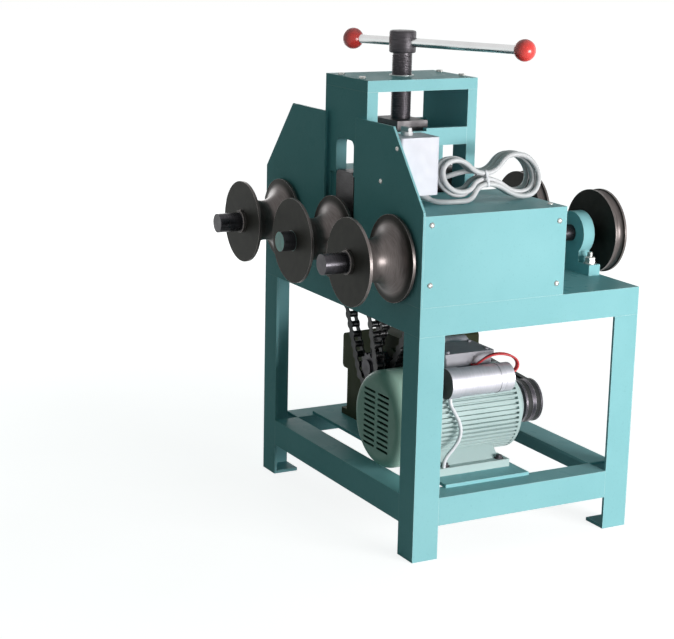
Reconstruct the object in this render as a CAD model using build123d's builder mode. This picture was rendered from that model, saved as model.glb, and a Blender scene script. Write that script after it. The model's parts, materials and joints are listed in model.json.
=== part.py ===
from build123d import *
from math import asin, atan2, cos, degrees, hypot, pi, radians, sin
import os

# Electric three-roll pipe bender on an angle-iron stand.
# Millimetres. X runs to the right, Y to the back, Z up, floor at Z = 0.
# Depths are counted from the front face of the stand, which lies at Y = front.

# Stand
front = -179.0
frame_width = 580.0
frame_depth = 452.0
deck_height = 446.0
angle_leg = 50.0
angle_wall = 5.0
foot_thick = 6.0
rail_top = 110.0
motor_plate_thick = 6.0
motor_plate_front = 88.0
motor_plate_back = 262.0
motor_plate_lap = 10.0

# Wing plates
wing_thick = 4.0
wing_top = deck_height + 289.0
wing_shoulder = deck_height + 160.0
wing_slant_width = 106.0
wing_inner = 56.0
wing_bore = 24.0

# Shaft lines
axis_height = deck_height + 70.0
roller_offset = 206.0
drive_offset = 120.0
shaft_radius = 18.0
shaft_end_radius = 17.5
drive_radius = 15.0
running_gap = 0.05
free_gap = 0.3

# Rollers
roller_radius = 75.0
roller_inner_face = -6.0
roller_width = 86.0
roller_groove = 38.0
roller_outer_face = roller_inner_face - roller_width
shaft_shoulder_radius = 23.0
shaft_end = -142.0
centre_shaft_end = -116.0
collar_radius = 20.5
collar_length = 6.0
collar_chamfer = 0.8
set_screw_radius = 2.0

# Press frame
press_half_width = 76.0
press_front = 10.5
press_plate_thick = 21.0
rear_plate_front = 215.0
rear_plate_thick = 19.0
press_top = deck_height + 354.0
top_plate_thick = 20.0
slide_half_width = 31.7
slot_top = deck_height + 245.0
slot_corner = 12.0
recess_half_width = 53.0
recess_top = deck_height + 182.0
recess_depth = 5.0
tie_bottom = deck_height + 237.0
tie_top = deck_height + 268.0
tie_thick = 12.0
tie_step = 5.0
tie_step_depth = 131.0
bolt_offset = 38.0
bolt_radius = 4.0
bolt_head_radius = 6.0
bolt_head_height = 4.0
bolt_grip = 18.0

# Press screw and its T-bar
screw_depth = 122.0
screw_radius = 18.0
screw_tip_radius = 12.0
screw_tip_length = 14.0
nut_radius = 22.0
nut_lip = 1.5
head_radius = 24.0
head_bottom = press_top + 40.0
head_top = press_top + 79.0
head_chamfer = 2.0
bar_radius = 8.0
bar_height = press_top + 59.0
bar_angle = 27.1
bar_short_end = -105.5
bar_long_end = 245.0
ball_radius = 19.0

# Slide block
slide_bottom = deck_height + 30.0
slide_top = deck_height + 188.0
slide_corner = 11.0
slide_foot_inset = 10.0
slide_foot_rise = 20.0
slide_overhang = 1.0
thrust_half_width = 43.0
thrust_length = 62.0
thrust_foot = deck_height + 94.0
thrust_top = deck_height + 278.0
slide_collar_length = 9.5
slide_collar_radius = 24.0

# Side covers
cover_sheet = 2.0
cover_inner = 84.0
cover_back = 287.0
cover_top = deck_height + 154.0
cover_shaft_hole = 20.0
screw_head_radius = 5.0
screw_head_height = 3.0
front_screw_depth = 17.0
front_screw_rises = (38.0, 139.0)
rear_screw_inset = 15.0
rear_screw_rises = (21.0, 130.0)
top_screw_inset = 30.0

# Bearing housings behind the wings
housing_inner = 88.0
housing_outer = 252.0
housing_back = 68.0
housing_top = deck_height + 128.0
housing_corner = 20.0
roller_bearing_radius = 31.0
drive_bearing_radius = 26.0
bearing_width = 16.0
bearing_inset = 3.0
drive_shaft_front = 30.0
drive_shaft_back = frame_depth + 48.0
roller_shaft_back = 165.0

# Pillow blocks and rear wheels
pillow_front = frame_depth - 30.0
pillow_width = 24.0
pillow_ring = 40.0
pillow_foot_half = 61.0
pillow_foot_height = 20.0
pillow_neck_half = 27.0
pillow_bolt_offset = 46.0
pillow_bolt_radius = 8.0
pillow_bolt_height = 7.0
wheel_radius = 77.0
wheel_front = frame_depth + 14.0
wheel_width = 25.0
wheel_groove = 8.5

# Gears
gear_teeth = 26
pinion_teeth = 17
gear_module = 2.0 * (roller_offset - drive_offset) / (gear_teeth + pinion_teeth)
gear_front = 130.0
gear_width = 28.0
tooth_share = 0.38
tip_share = 0.2
tooth_foot_share = 1.35
gear_dedendum = 1.2
gear_addendum = 0.8

# Chain drive
chain_pitch = 19.05
chain_roller = 5.95
chain_inner_half = 6.3
chain_plate = 2.4
chain_plate_radius = 8.5
chain_plate_waist = 10.0
sprocket_half = 5.7
sprocket_gap = 0.6
upper_teeth = 16
lower_teeth = 11
left_chain_depth = 86.0
right_chain_depth = 112.0
output_x = -20.0
output_height = 262.0
chain_slot_margin = 15.0
chain_slot_half = 14.0

# Reducer
reducer_left = -216.0
reducer_right = 14.0
reducer_front = 135.0
reducer_back = 300.0
reducer_case_bottom = 211.0
reducer_case_side = 278.0
reducer_case_top = 316.0
reducer_case_round = 8.0
reducer_slope_end = -90.0
pedestal_inset = 20.0
reducer_flange = 12.0
reducer_boss = 30.0
reducer_boss_length = 12.0
reducer_cap_length = 6.0
input_x = -150.0
input_height = 215.0
input_shaft_radius = 12.0
output_shaft_front = 76.0
reducer_shaft_depth = 36.0

# Motor
motor_x = 115.0
motor_front = 100.0
motor_back = 281.0
motor_core = 72.0
motor_fin_radius = 78.5
motor_fin_count = 54
motor_fin_thick = 4.5
motor_bore = 41.0
motor_rotor_radius = 40.0
motor_rotor_inset = 30.0
motor_bell = 6.0
motor_back_bell = 26.0
motor_back_bell_radius = 46.0
motor_shaft_radius = 12.0
motor_foot_half = 93.0
motor_foot_inner = 53.0
motor_foot_back = 248.0
motor_foot_height = 14.0
motor_gusset_share = 0.75
fan_cover_radius = 88.0
fan_cover_lift = 0.5
fan_cover_sheet = 2.0
fan_cover_nose = 22.0
fan_cover_round = 22.0
fan_slot_length = 40.0
fan_slot_height = 4.5
fan_slot_pitch = 10.0
fan_slot_rows = 11
fan_slot_centre = 24.0
fan_radius = 80.0
fan_hub = 28.0
fan_front = 64.0
fan_back = 92.0
fan_blades = 7
fan_blade_thick = 4.0

# Pulleys and belts
pulley_front = 318.0
pulley_width = 36.0
motor_pulley_radius = 40.0
reducer_pulley_radius = 50.0
belt_width = 9.4
belt_height = 8.0
belt_sink = 1.0
belt_offset = 9.0

# Terminal box and capacitors
terminal_left = 82.0
terminal_right = 156.0
terminal_front = 138.0
terminal_back = 236.0
terminal_seat = 273.0
terminal_top = 315.0
terminal_lid = 7.0
terminal_lid_lap = 2.0
terminal_corner = 4.0
lid_screw_inset = 8.0
lid_screw_height = 3.0
lid_screw_radius = 4.0
capacitor_pad_radius = 80.0
capacitor_pad_width = 24.0
capacitor_one_x = 191.0
capacitor_one_height = 279.5
capacitor_one_radius = 26.0
capacitor_one_front = 116.0
capacitor_one_back = 247.0
capacitor_cap_length = 24.0
capacitor_cap_wall = 1.5
capacitor_two_x = 48.0
capacitor_two_height = 303.0
capacitor_two_radius = 20.0
capacitor_two_front = 168.0
capacitor_two_back = 246.0

# Switch box
switch_left = 140.0
switch_right = 205.0
switch_back = 80.0
switch_bottom = cover_top + 19.0
switch_top = cover_top + 117.0
switch_corner = 5.0
knob_depth = 34.0
knob_radius = 10.0
knob_height = 14.0
knob_pointer = 1.5
knob_stem_radius = 5.0
knob_stem_depth = 10.0

# Mains cord
cord_radius = 4.5
cord_arc_share = 0.45
hank_x = 189.0
hank_depth = 194.0
hank_length = 102.0
hank_lobe = 38.0
hank_lobe_depth = 64.0
hank_waist = 14.0
hank_lean = 65.0
hank_step = 11.0
hank_waist_step = 11.0
hank_layers = 4
hank_turns_per_layer = 1
hank_layer_step = 10.6
hank_turn_share = 0.78
cord_lift = 0.3
plug_x = 110.0
plug_back = 61.0
plug_length = 36.0
plug_radius = 14.0
plug_neck_radius = 8.0
plug_pin_length = 16.0
plug_pin_offset = 6.5
plug_pin_half_thick = 0.8
plug_pin_half_width = 3.2
lead_radius = 3.5
wire_radius = 2.0

os.makedirs("parts", exist_ok=True)

leg_top = deck_height - angle_leg
frame_half = frame_width / 2
plate_height = rail_top + motor_plate_thick
motor_height = plate_height + fan_cover_radius + fan_cover_lift
front_plate_back = press_front + press_plate_thick
rear_plate_back = rear_plate_front + rear_plate_thick
top_plate_bottom = press_top - top_plate_thick
sides = (("left", -1), ("right", 1))
chain_depths = {"left": left_chain_depth, "right": right_chain_depth}


def upright(depth):
    """Plane facing the front at a depth, with local x as X and local y as Z."""
    return Plane(origin=(0, front + depth, 0), x_dir=(1, 0, 0), z_dir=(0, -1, 0))


def lengthwise(x, height):
    """Plane through a line along Y, with local x as depth and local y as radius."""
    return Plane(origin=(x, front, height), x_dir=(0, 1, 0), z_dir=(1, 0, 0))


def block(x_from, x_to, depth_from, depth_to, z_from, z_to, mode=Mode.ADD):
    """Add a block between two corners."""
    middle = (
        (x_from + x_to) / 2,
        front + (depth_from + depth_to) / 2,
        (z_from + z_to) / 2,
    )
    with Locations(middle):
        Box(abs(x_to - x_from), abs(depth_to - depth_from), abs(z_to - z_from), mode=mode)


def round_bar(x, height, depth_from, depth_to, radius, mode=Mode.ADD):
    """Add a round bar along Y."""
    with BuildSketch(upright(depth_from)) as section:
        with Locations((x, height)):
            Circle(radius)
    extrude(section.sketch, amount=depth_from - depth_to, mode=mode)


def round_post(x, depth, z_from, z_to, radius, mode=Mode.ADD):
    """Add a round post along Z."""
    with BuildSketch(Plane.XY.offset(z_from)) as section:
        with Locations((x, front + depth)):
            Circle(radius)
    extrude(section.sketch, amount=z_to - z_from, mode=mode)


def outline(points, depth_from, depth_to, mode=Mode.ADD):
    """Add a plate with straight edges, given as X and Z, between two depths."""
    with BuildSketch(upright(depth_from)) as section:
        with BuildLine():
            Polyline(*points, close=True)
        make_face()
    extrude(section.sketch, amount=depth_from - depth_to, mode=mode)


def save(builder, name):
    """Label a finished piece and write it."""
    builder.part.label = name
    export_step(builder.part, f"parts/{name}.step")


# Stand of angle iron
for end, corner_depth, inward in (("front", 0.0, 1), ("rear", frame_depth, -1)):
    for side, sign in sides:
        edge = sign * frame_half
        with BuildPart() as leg:
            leg_back = corner_depth + inward * angle_leg
            block(edge, edge - sign * angle_leg, corner_depth, corner_depth + inward * angle_wall, 0, leg_top)
            block(edge, edge - sign * angle_wall, corner_depth, leg_back, 0, leg_top)
            block(edge, edge - sign * angle_leg, corner_depth, leg_back, 0, foot_thick)
        save(leg, f"leg_{end}_{side}")

inner_half = frame_half - angle_leg
with BuildPart() as top_frame:
    block(-frame_half, frame_half, 0, frame_depth, leg_top, deck_height)
    wall_half = frame_half - angle_wall
    flange_under = deck_height - angle_wall
    block(-wall_half, wall_half, angle_wall, frame_depth - angle_wall, leg_top, flange_under, Mode.SUBTRACT)
    flange_back = frame_depth - angle_leg
    block(-inner_half, inner_half, angle_leg, flange_back, flange_under, deck_height, Mode.SUBTRACT)
save(top_frame, "top_frame")

with BuildPart() as bottom_cross_rails:
    for rail_depth, inward in ((0.0, 1), (frame_depth, -1)):
        wall_depth = rail_depth + inward * angle_wall
        flange_depth = rail_depth + inward * angle_leg
        block(-inner_half, inner_half, rail_depth, wall_depth, rail_top - angle_leg, rail_top)
        block(-inner_half, inner_half, rail_depth, flange_depth, rail_top - angle_wall, rail_top)
save(bottom_cross_rails, "bottom_cross_rails")

with BuildPart() as bottom_side_rails:
    for side, sign in sides:
        edge = sign * frame_half
        rail_back = frame_depth - angle_leg
        block(edge, edge - sign * angle_wall, angle_leg, rail_back, rail_top - angle_leg, rail_top)
        block(edge, edge - sign * angle_leg, angle_leg, rail_back, rail_top - angle_wall, rail_top)
save(bottom_side_rails, "bottom_side_rails")

with BuildPart() as motor_plate:
    plate_half = inner_half + motor_plate_lap
    block(-plate_half, plate_half, motor_plate_front, motor_plate_back, rail_top, plate_height)
save(motor_plate, "motor_plate")


# Chain loops: pitch circles, straight strands and link places
def pitch_radius(teeth):
    """Radius of a sprocket's pitch circle."""
    return chain_pitch / (2 * sin(pi / teeth))


def chain_points(upper_x):
    """Pin places, as X and Z, round the lower and one upper sprocket."""
    low_radius = pitch_radius(lower_teeth)
    high_radius = pitch_radius(upper_teeth)
    across = upper_x - output_x
    rise = axis_height - output_height
    distance = hypot(across, rise)
    heading = atan2(rise, across)
    lean = asin((high_radius - low_radius) / distance)
    strand = distance * cos(lean)
    high_arc = high_radius * (pi + 2 * lean)
    low_arc = low_radius * (pi - 2 * lean)
    length = 2 * strand + high_arc + low_arc
    count = 2 * round(length / chain_pitch / 2)
    points = []
    for index in range(count):
        along = index * length / count
        if along < strand:
            turn = heading - pi / 2 - lean
            start_x = output_x + low_radius * cos(turn)
            start_z = output_height + low_radius * sin(turn)
            points.append((start_x + along * cos(heading - lean), start_z + along * sin(heading - lean)))
        elif along < strand + high_arc:
            turn = heading - pi / 2 - lean + (along - strand) / high_radius
            points.append((upper_x + high_radius * cos(turn), axis_height + high_radius * sin(turn)))
        elif along < 2 * strand + high_arc:
            rest = along - strand - high_arc
            turn = heading + pi / 2 + lean
            start_x = upper_x + high_radius * cos(turn)
            start_z = axis_height + high_radius * sin(turn)
            points.append((start_x - rest * cos(heading + lean), start_z - rest * sin(heading + lean)))
        else:
            turn = heading + pi / 2 + lean + (along - 2 * strand - high_arc) / low_radius
            points.append((output_x + low_radius * cos(turn), output_height + low_radius * sin(turn)))
    return points


def sprocket(x, height, depth, teeth):
    """Add a sprocket that clears the rollers of its chain."""
    tip = pitch_radius(teeth) - chain_roller - sprocket_gap
    with BuildSketch(upright(depth - sprocket_half)) as section:
        with Locations((x, height)):
            Circle(tip)
            with PolarLocations(tip + chain_roller / 3, teeth):
                Circle(chain_roller, mode=Mode.SUBTRACT)
    extrude(section.sketch, amount=-2 * sprocket_half)


# Deck with slots that let the two chains through
with BuildPart() as deck_plate:
    deck_under = deck_height - angle_wall
    block(-inner_half, inner_half, angle_leg, frame_depth - angle_leg, deck_under, deck_height)
    for side, sign in sides:
        crossings = [
            x for x, z in chain_points(sign * drive_offset) if abs(z - deck_height) < chain_pitch
        ]
        slot_from = min(crossings) - chain_slot_margin
        slot_to = max(crossings) + chain_slot_margin
        slot_depth = chain_depths[side]
        block(
            slot_from,
            slot_to,
            slot_depth - chain_slot_half,
            slot_depth + chain_slot_half,
            deck_under,
            deck_height,
            Mode.SUBTRACT,
        )
save(deck_plate, "deck_plate")

# Wing plates
for side, sign in sides:
    with BuildPart() as wing:
        slant_x = frame_half - wing_slant_width
        wing_corners = [
            (sign * wing_inner, deck_height),
            (sign * frame_half, deck_height),
            (sign * frame_half, wing_shoulder),
            (sign * slant_x, wing_top),
            (sign * wing_inner, wing_top),
        ]
        outline(wing_corners, 0, wing_thick)
        round_bar(sign * roller_offset, axis_height, 0, wing_thick, wing_bore, Mode.SUBTRACT)
    save(wing, f"{side}_wing")

# Press frame
slot_half = slide_half_width + free_gap
bolt_depths = (
    press_front + press_plate_thick / 2,
    rear_plate_front + rear_plate_thick / 2,
)


def press_plate(depth_from, depth_to, recess_from, recess_to, bolt_depth):
    """Add a thick plate with the slide's slot and a wider, shallow recess."""
    block(-press_half_width, press_half_width, depth_from, depth_to, deck_height, top_plate_bottom)
    with BuildSketch(upright(depth_from)) as slot:
        with Locations((0, (deck_height + slot_top) / 2)):
            Rectangle(2 * slot_half, slot_top - deck_height)
        fillet(slot.vertices().group_by(Axis.Y)[-1], slot_corner)
    extrude(slot.sketch, amount=depth_from - depth_to, mode=Mode.SUBTRACT)
    block(
        -recess_half_width,
        recess_half_width,
        recess_from,
        recess_to,
        deck_height,
        recess_top,
        Mode.SUBTRACT,
    )
    for x in (-bolt_offset, bolt_offset):
        hole_bottom = top_plate_bottom - bolt_grip
        round_post(x, bolt_depth, hole_bottom, top_plate_bottom, bolt_radius, Mode.SUBTRACT)


with BuildPart() as press_front_plate:
    recess_back = press_front + recess_depth
    press_plate(press_front, front_plate_back, press_front, recess_back, bolt_depths[0])
save(press_front_plate, "press_front_plate")

with BuildPart() as press_rear_plate:
    press_plate(
        rear_plate_front,
        rear_plate_back,
        rear_plate_back - recess_depth,
        rear_plate_back,
        bolt_depths[1],
    )
save(press_rear_plate, "press_rear_plate")

with BuildPart() as press_top_plate:
    block(
        -press_half_width,
        press_half_width,
        press_front,
        rear_plate_back,
        top_plate_bottom,
        press_top,
    )
    round_post(0, screw_depth, top_plate_bottom, press_top, nut_radius, Mode.SUBTRACT)
    for x in (-bolt_offset, bolt_offset):
        for depth in bolt_depths:
            round_post(x, depth, top_plate_bottom, press_top, bolt_radius, Mode.SUBTRACT)
save(press_top_plate, "press_top_plate")

with BuildPart() as top_plate_bolts:
    for x in (-bolt_offset, bolt_offset):
        for depth in bolt_depths:
            round_post(x, depth, top_plate_bottom - bolt_grip, press_top, bolt_radius)
            with BuildSketch(Plane.XY.offset(press_top)) as hexagon:
                with Locations((x, front + depth)):
                    RegularPolygon(bolt_head_radius, 6)
            extrude(hexagon.sketch, amount=bolt_head_height)
save(top_plate_bolts, "top_plate_bolts")

with BuildPart() as tie_bars:
    for side, sign in sides:
        outer = sign * press_half_width
        inner = sign * (press_half_width - tie_thick)
        block(inner, outer, front_plate_back, rear_plate_front, tie_bottom, tie_top - tie_step)
        block(inner, outer, tie_step_depth, rear_plate_front, tie_top - tie_step, tie_top)
save(tie_bars, "tie_bars")

with BuildPart() as screw_nut:
    nut_top = press_top + nut_lip
    round_post(0, screw_depth, top_plate_bottom, nut_top, nut_radius)
    round_post(0, screw_depth, top_plate_bottom, nut_top, screw_radius + running_gap, Mode.SUBTRACT)
save(screw_nut, "screw_nut")

# Slide with its thrust block
slide_front = press_front + slide_overhang
slide_back = rear_plate_back + slide_overhang
thrust_front = screw_depth - thrust_length / 2
with BuildPart() as slide_block:
    foot_half = slide_half_width - slide_foot_inset
    with BuildSketch(upright(slide_front)) as slide_face:
        with BuildLine():
            Polyline(
                (-foot_half, slide_bottom),
                (foot_half, slide_bottom),
                (slide_half_width, slide_bottom + slide_foot_rise),
                (slide_half_width, slide_top),
                (-slide_half_width, slide_top),
                (-slide_half_width, slide_bottom + slide_foot_rise),
                close=True,
            )
        make_face()
        fillet(slide_face.vertices().group_by(Axis.Y)[-1], slide_corner)
    extrude(slide_face.sketch, amount=slide_front - slide_back)
    block(
        -thrust_half_width,
        thrust_half_width,
        thrust_front,
        thrust_front + thrust_length,
        thrust_foot,
        thrust_top,
    )
    shaft_bore = shaft_radius + running_gap
    round_bar(0, axis_height, slide_front, slide_back, shaft_bore, Mode.SUBTRACT)
    tip_hole_bottom = thrust_top - screw_tip_length - free_gap
    tip_hole = screw_tip_radius + running_gap
    round_post(0, screw_depth, tip_hole_bottom, thrust_top, tip_hole, Mode.SUBTRACT)
save(slide_block, "slide_block")

with BuildPart() as press_screw:
    screw_foot = thrust_top + free_gap
    round_post(0, screw_depth, screw_foot - screw_tip_length, screw_foot, screw_tip_radius)
    round_post(0, screw_depth, screw_foot, head_bottom, screw_radius)
    round_post(0, screw_depth, head_bottom, head_top, head_radius)
    rim = press_screw.edges().filter_by(GeomType.CIRCLE).group_by(Axis.Z)[-1]
    chamfer(rim, head_chamfer)
    bar_x_dir = (cos(radians(bar_angle)), sin(radians(bar_angle)), 0)
    bar_plane = Plane(origin=(0, front + screw_depth, bar_height), x_dir=(0, 0, 1), z_dir=bar_x_dir)
    with BuildSketch(bar_plane) as cross_hole:
        Circle(bar_radius + running_gap)
    extrude(cross_hole.sketch, amount=2 * head_radius, both=True, mode=Mode.SUBTRACT)
save(press_screw, "press_screw")

with BuildPart() as handle_bar:
    with BuildSketch(bar_plane.offset(bar_short_end)) as bar_section:
        Circle(bar_radius)
    extrude(amount=bar_long_end - bar_short_end)
save(handle_bar, "handle_bar")

with BuildPart() as handle_balls:
    for place in (bar_short_end, bar_long_end):
        centre = bar_plane.offset(place).origin
        with Locations(centre):
            Sphere(ball_radius)
    with BuildSketch(bar_plane.offset(bar_short_end)) as bar_hole:
        Circle(bar_radius)
    extrude(amount=bar_long_end - bar_short_end, mode=Mode.SUBTRACT)
save(handle_balls, "handle_balls")


# Rollers on their shafts
def roller(x):
    """Add a grooved roller bored for its shaft."""
    middle = (roller_inner_face + roller_outer_face) / 2
    with BuildSketch(lengthwise(x, axis_height)) as profile:
        with BuildLine():
            Polyline(
                (roller_outer_face, shaft_radius),
                (roller_inner_face, shaft_radius),
                (roller_inner_face, roller_radius),
                (roller_outer_face, roller_radius),
                close=True,
            )
        make_face()
        with Locations((middle, roller_radius)):
            Circle(roller_groove, mode=Mode.SUBTRACT)
    revolve(profile.sketch, axis=Axis((x, front, axis_height), (0, 1, 0)))


with BuildPart() as centre_roller:
    roller(0)
save(centre_roller, "centre_roller")

with BuildPart() as centre_shaft:
    shaft_back = slide_back + free_gap + slide_collar_length
    round_bar(0, axis_height, centre_shaft_end, roller_outer_face, shaft_end_radius)
    round_bar(0, axis_height, roller_outer_face, shaft_back, shaft_radius)
    round_bar(0, axis_height, roller_inner_face, slide_front - free_gap, shaft_shoulder_radius)
    round_bar(0, axis_height, slide_back + free_gap, shaft_back, slide_collar_radius)
save(centre_shaft, "centre_shaft")


def toothed_disc(x, teeth, first_tooth, bore):
    """Add a gear whose first tooth points along an angle."""
    pitch = gear_module * teeth / 2
    root = pitch - gear_dedendum * gear_module
    tip = pitch + gear_addendum * gear_module
    root_half = tooth_share * pi / teeth
    tip_half = tip_share * pi / teeth
    corners = []
    for index in range(teeth):
        aim = radians(first_tooth) + 2 * pi * index / teeth
        for radius, offset in (
            (root, -tooth_foot_share * root_half),
            (pitch, -root_half),
            (tip, -tip_half),
            (tip, tip_half),
            (pitch, root_half),
            (root, tooth_foot_share * root_half),
        ):
            corners.append((radius * cos(aim + offset), radius * sin(aim + offset)))
    with BuildSketch(upright(gear_front)) as section:
        with BuildLine():
            Polyline(*[(x + u, axis_height + v) for u, v in corners], close=True)
        make_face()
    extrude(section.sketch, amount=-gear_width)
    round_bar(x, axis_height, gear_front, gear_front + gear_width, bore, Mode.SUBTRACT)


for side, sign in sides:
    roller_x = sign * roller_offset
    drive_x = sign * drive_offset
    toward_drive = 180.0 if sign > 0 else 0.0
    collar_front = roller_outer_face - collar_length
    with BuildPart() as roller_shaft:
        round_bar(roller_x, axis_height, shaft_end, collar_front, shaft_end_radius)
        round_bar(roller_x, axis_height, collar_front, roller_shaft_back, shaft_radius)
        round_bar(roller_x, axis_height, roller_inner_face, -free_gap, shaft_shoulder_radius)
    save(roller_shaft, f"{side}_roller_shaft")

    with BuildPart() as side_roller:
        roller(roller_x)
    save(side_roller, f"{side}_roller")

    with BuildPart() as shaft_collar:
        round_bar(roller_x, axis_height, collar_front, roller_outer_face, collar_radius)
        rims = shaft_collar.edges().filter_by(GeomType.CIRCLE).group_by(Axis.Y)[0]
        chamfer(rims, collar_chamfer)
        set_screw_top = axis_height + collar_radius + set_screw_radius
        middle = (collar_front + roller_outer_face) / 2
        round_post(roller_x, middle, axis_height + shaft_radius, set_screw_top, set_screw_radius)
        round_bar(roller_x, axis_height, collar_front, roller_outer_face, shaft_radius, Mode.SUBTRACT)
    save(shaft_collar, f"{side}_shaft_collar")

    with BuildPart() as gear:
        toothed_disc(roller_x, gear_teeth, toward_drive, shaft_radius)
    save(gear, f"{side}_gear")

    with BuildPart() as drive_shaft:
        toothed_disc(drive_x, pinion_teeth, toward_drive, drive_radius)
        round_bar(drive_x, axis_height, drive_shaft_front, drive_shaft_back, drive_radius)
        sprocket(drive_x, axis_height, chain_depths[side], upper_teeth)
    save(drive_shaft, f"{side}_drive_shaft")

    with BuildPart() as rear_wheel:
        wheel_middle = wheel_front + wheel_width / 2
        with BuildSketch(lengthwise(drive_x, axis_height)) as wheel_profile:
            with BuildLine():
                Polyline(
                    (wheel_front, drive_radius),
                    (wheel_front + wheel_width, drive_radius),
                    (wheel_front + wheel_width, wheel_radius),
                    (wheel_front, wheel_radius),
                    close=True,
                )
            make_face()
            with Locations((wheel_middle, wheel_radius)):
                Circle(wheel_groove, mode=Mode.SUBTRACT)
        revolve(axis=Axis((drive_x, front, axis_height), (0, 1, 0)))
    save(rear_wheel, f"{side}_rear_wheel")

    with BuildPart() as pillow_block:
        pillow_back = pillow_front + pillow_width
        foot_top = deck_height + pillow_foot_height
        block(
            drive_x - pillow_foot_half,
            drive_x + pillow_foot_half,
            pillow_front,
            pillow_back,
            deck_height,
            foot_top,
        )
        block(
            drive_x - pillow_neck_half,
            drive_x + pillow_neck_half,
            pillow_front,
            pillow_back,
            deck_height,
            axis_height,
        )
        round_bar(drive_x, axis_height, pillow_front, pillow_back, pillow_ring)
        for offset in (-pillow_bolt_offset, pillow_bolt_offset):
            bolt_x = drive_x + offset
            bolt_depth = pillow_front + pillow_width / 2
            round_post(bolt_x, bolt_depth, foot_top, foot_top + pillow_bolt_height, pillow_bolt_radius)
        drive_bore = drive_radius + running_gap
        round_bar(drive_x, axis_height, pillow_front, pillow_back, drive_bore, Mode.SUBTRACT)
    save(pillow_block, f"{side}_pillow_block")

    with BuildPart() as bearing_housing:
        block(
            sign * housing_inner,
            sign * housing_outer,
            wing_thick,
            housing_back,
            deck_height,
            housing_top,
        )
        top_edges = bearing_housing.edges().filter_by(Axis.Y).group_by(Axis.Z)[-1]
        fillet(top_edges, housing_corner)
        round_bar(roller_x, axis_height, wing_thick, housing_back, roller_bearing_radius, Mode.SUBTRACT)
        round_bar(drive_x, axis_height, wing_thick, housing_back, drive_bearing_radius, Mode.SUBTRACT)
    save(bearing_housing, f"{side}_bearing_housing")

    with BuildPart() as cover:
        block(
            sign * cover_inner,
            sign * frame_half,
            wing_thick,
            cover_back,
            deck_height,
            cover_top,
        )
        block(
            sign * cover_inner,
            sign * (frame_half - cover_sheet),
            wing_thick,
            cover_back - cover_sheet,
            deck_height,
            cover_top - cover_sheet,
            Mode.SUBTRACT,
        )
        rear_wall = cover_back - cover_sheet
        round_bar(drive_x, axis_height, rear_wall, cover_back, cover_shaft_hole, Mode.SUBTRACT)
    save(cover, f"{side}_cover")

with BuildPart() as shaft_bearings:
    for side, sign in sides:
        front_seat = wing_thick + bearing_inset
        rear_seat = housing_back - bearing_inset - bearing_width
        drive_seat = drive_shaft_front + bearing_inset
        for x, seat, outer, inner in (
            (roller_offset, front_seat, roller_bearing_radius, shaft_radius),
            (roller_offset, rear_seat, roller_bearing_radius, shaft_radius),
            (drive_offset, drive_seat, drive_bearing_radius, drive_radius),
        ):
            seat_end = seat + bearing_width
            round_bar(sign * x, axis_height, seat, seat_end, outer)
            round_bar(sign * x, axis_height, seat, seat_end, inner + running_gap, Mode.SUBTRACT)
save(shaft_bearings, "shaft_bearings")

with BuildPart() as cover_screws:
    for side, sign in sides:
        for depth, rises in (
            (front_screw_depth, front_screw_rises),
            (cover_back - rear_screw_inset, rear_screw_rises),
        ):
            for rise in rises:
                face = Plane(
                    origin=(sign * frame_half, front + depth, deck_height + rise),
                    x_dir=(0, 1, 0),
                    z_dir=(sign, 0, 0),
                )
                with BuildSketch(face) as screw_head:
                    Circle(screw_head_radius)
                extrude(screw_head.sketch, amount=screw_head_height)
            top_x = sign * (frame_half - top_screw_inset)
            round_post(top_x, depth, cover_top, cover_top + screw_head_height, screw_head_radius)
save(cover_screws, "cover_screws")

# Two roller chains from the reducer to the drive shafts
with BuildPart() as drive_chains:
    for side, sign in sides:
        pins = chain_points(sign * drive_offset)
        depth = chain_depths[side]
        near = depth - chain_inner_half
        with BuildSketch(upright(near - chain_plate)) as plates:
            with Locations(*pins):
                Circle(chain_plate_radius)
            for (x_one, z_one), (x_two, z_two) in zip(pins, pins[1:] + pins[:1]):
                link = Location(
                    ((x_one + x_two) / 2, (z_one + z_two) / 2),
                    degrees(atan2(z_two - z_one, x_two - x_one)),
                )
                with Locations(link):
                    Rectangle(chain_pitch, chain_plate_waist)
        extrude(plates.sketch, amount=-chain_plate)
        far_plates = plates.sketch.moved(Location((0, 2 * chain_inner_half + chain_plate, 0)))
        extrude(far_plates, amount=-chain_plate)
        with BuildSketch(upright(near)) as rollers:
            with Locations(*pins):
                Circle(chain_roller)
        extrude(rollers.sketch, amount=-2 * chain_inner_half)
save(drive_chains, "drive_chains")

# Parallel-shaft reducer
with BuildPart() as reducer_housing:
    outline(
        [
            (reducer_left, reducer_case_bottom),
            (reducer_left, reducer_case_side),
            (reducer_slope_end, reducer_case_top),
            (reducer_right, reducer_case_top),
            (reducer_right, reducer_case_bottom),
        ],
        reducer_front,
        reducer_back,
    )
    case_rims = reducer_housing.edges().filter_by(Axis.Y)
    fillet(case_rims, reducer_case_round)
    block(
        reducer_left + pedestal_inset,
        reducer_right - pedestal_inset,
        reducer_front,
        motor_plate_back,
        plate_height,
        reducer_case_bottom + pedestal_inset,
    )
    block(
        reducer_left,
        reducer_right,
        reducer_front,
        motor_plate_back,
        plate_height,
        plate_height + reducer_flange,
    )
    output_cap_front = reducer_front - reducer_cap_length
    round_bar(output_x, output_height, output_cap_front, reducer_front, reducer_boss)
    boss_back = reducer_back + reducer_boss_length
    round_bar(input_x, input_height, reducer_back, boss_back, reducer_boss)
    output_bore = drive_radius + running_gap
    output_bore_back = reducer_front + reducer_shaft_depth
    round_bar(output_x, output_height, output_cap_front, output_bore_back, output_bore, Mode.SUBTRACT)
    input_bore = input_shaft_radius + running_gap
    input_bore_front = reducer_back - reducer_shaft_depth
    round_bar(input_x, input_height, input_bore_front, boss_back, input_bore, Mode.SUBTRACT)
save(reducer_housing, "reducer_housing")

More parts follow.
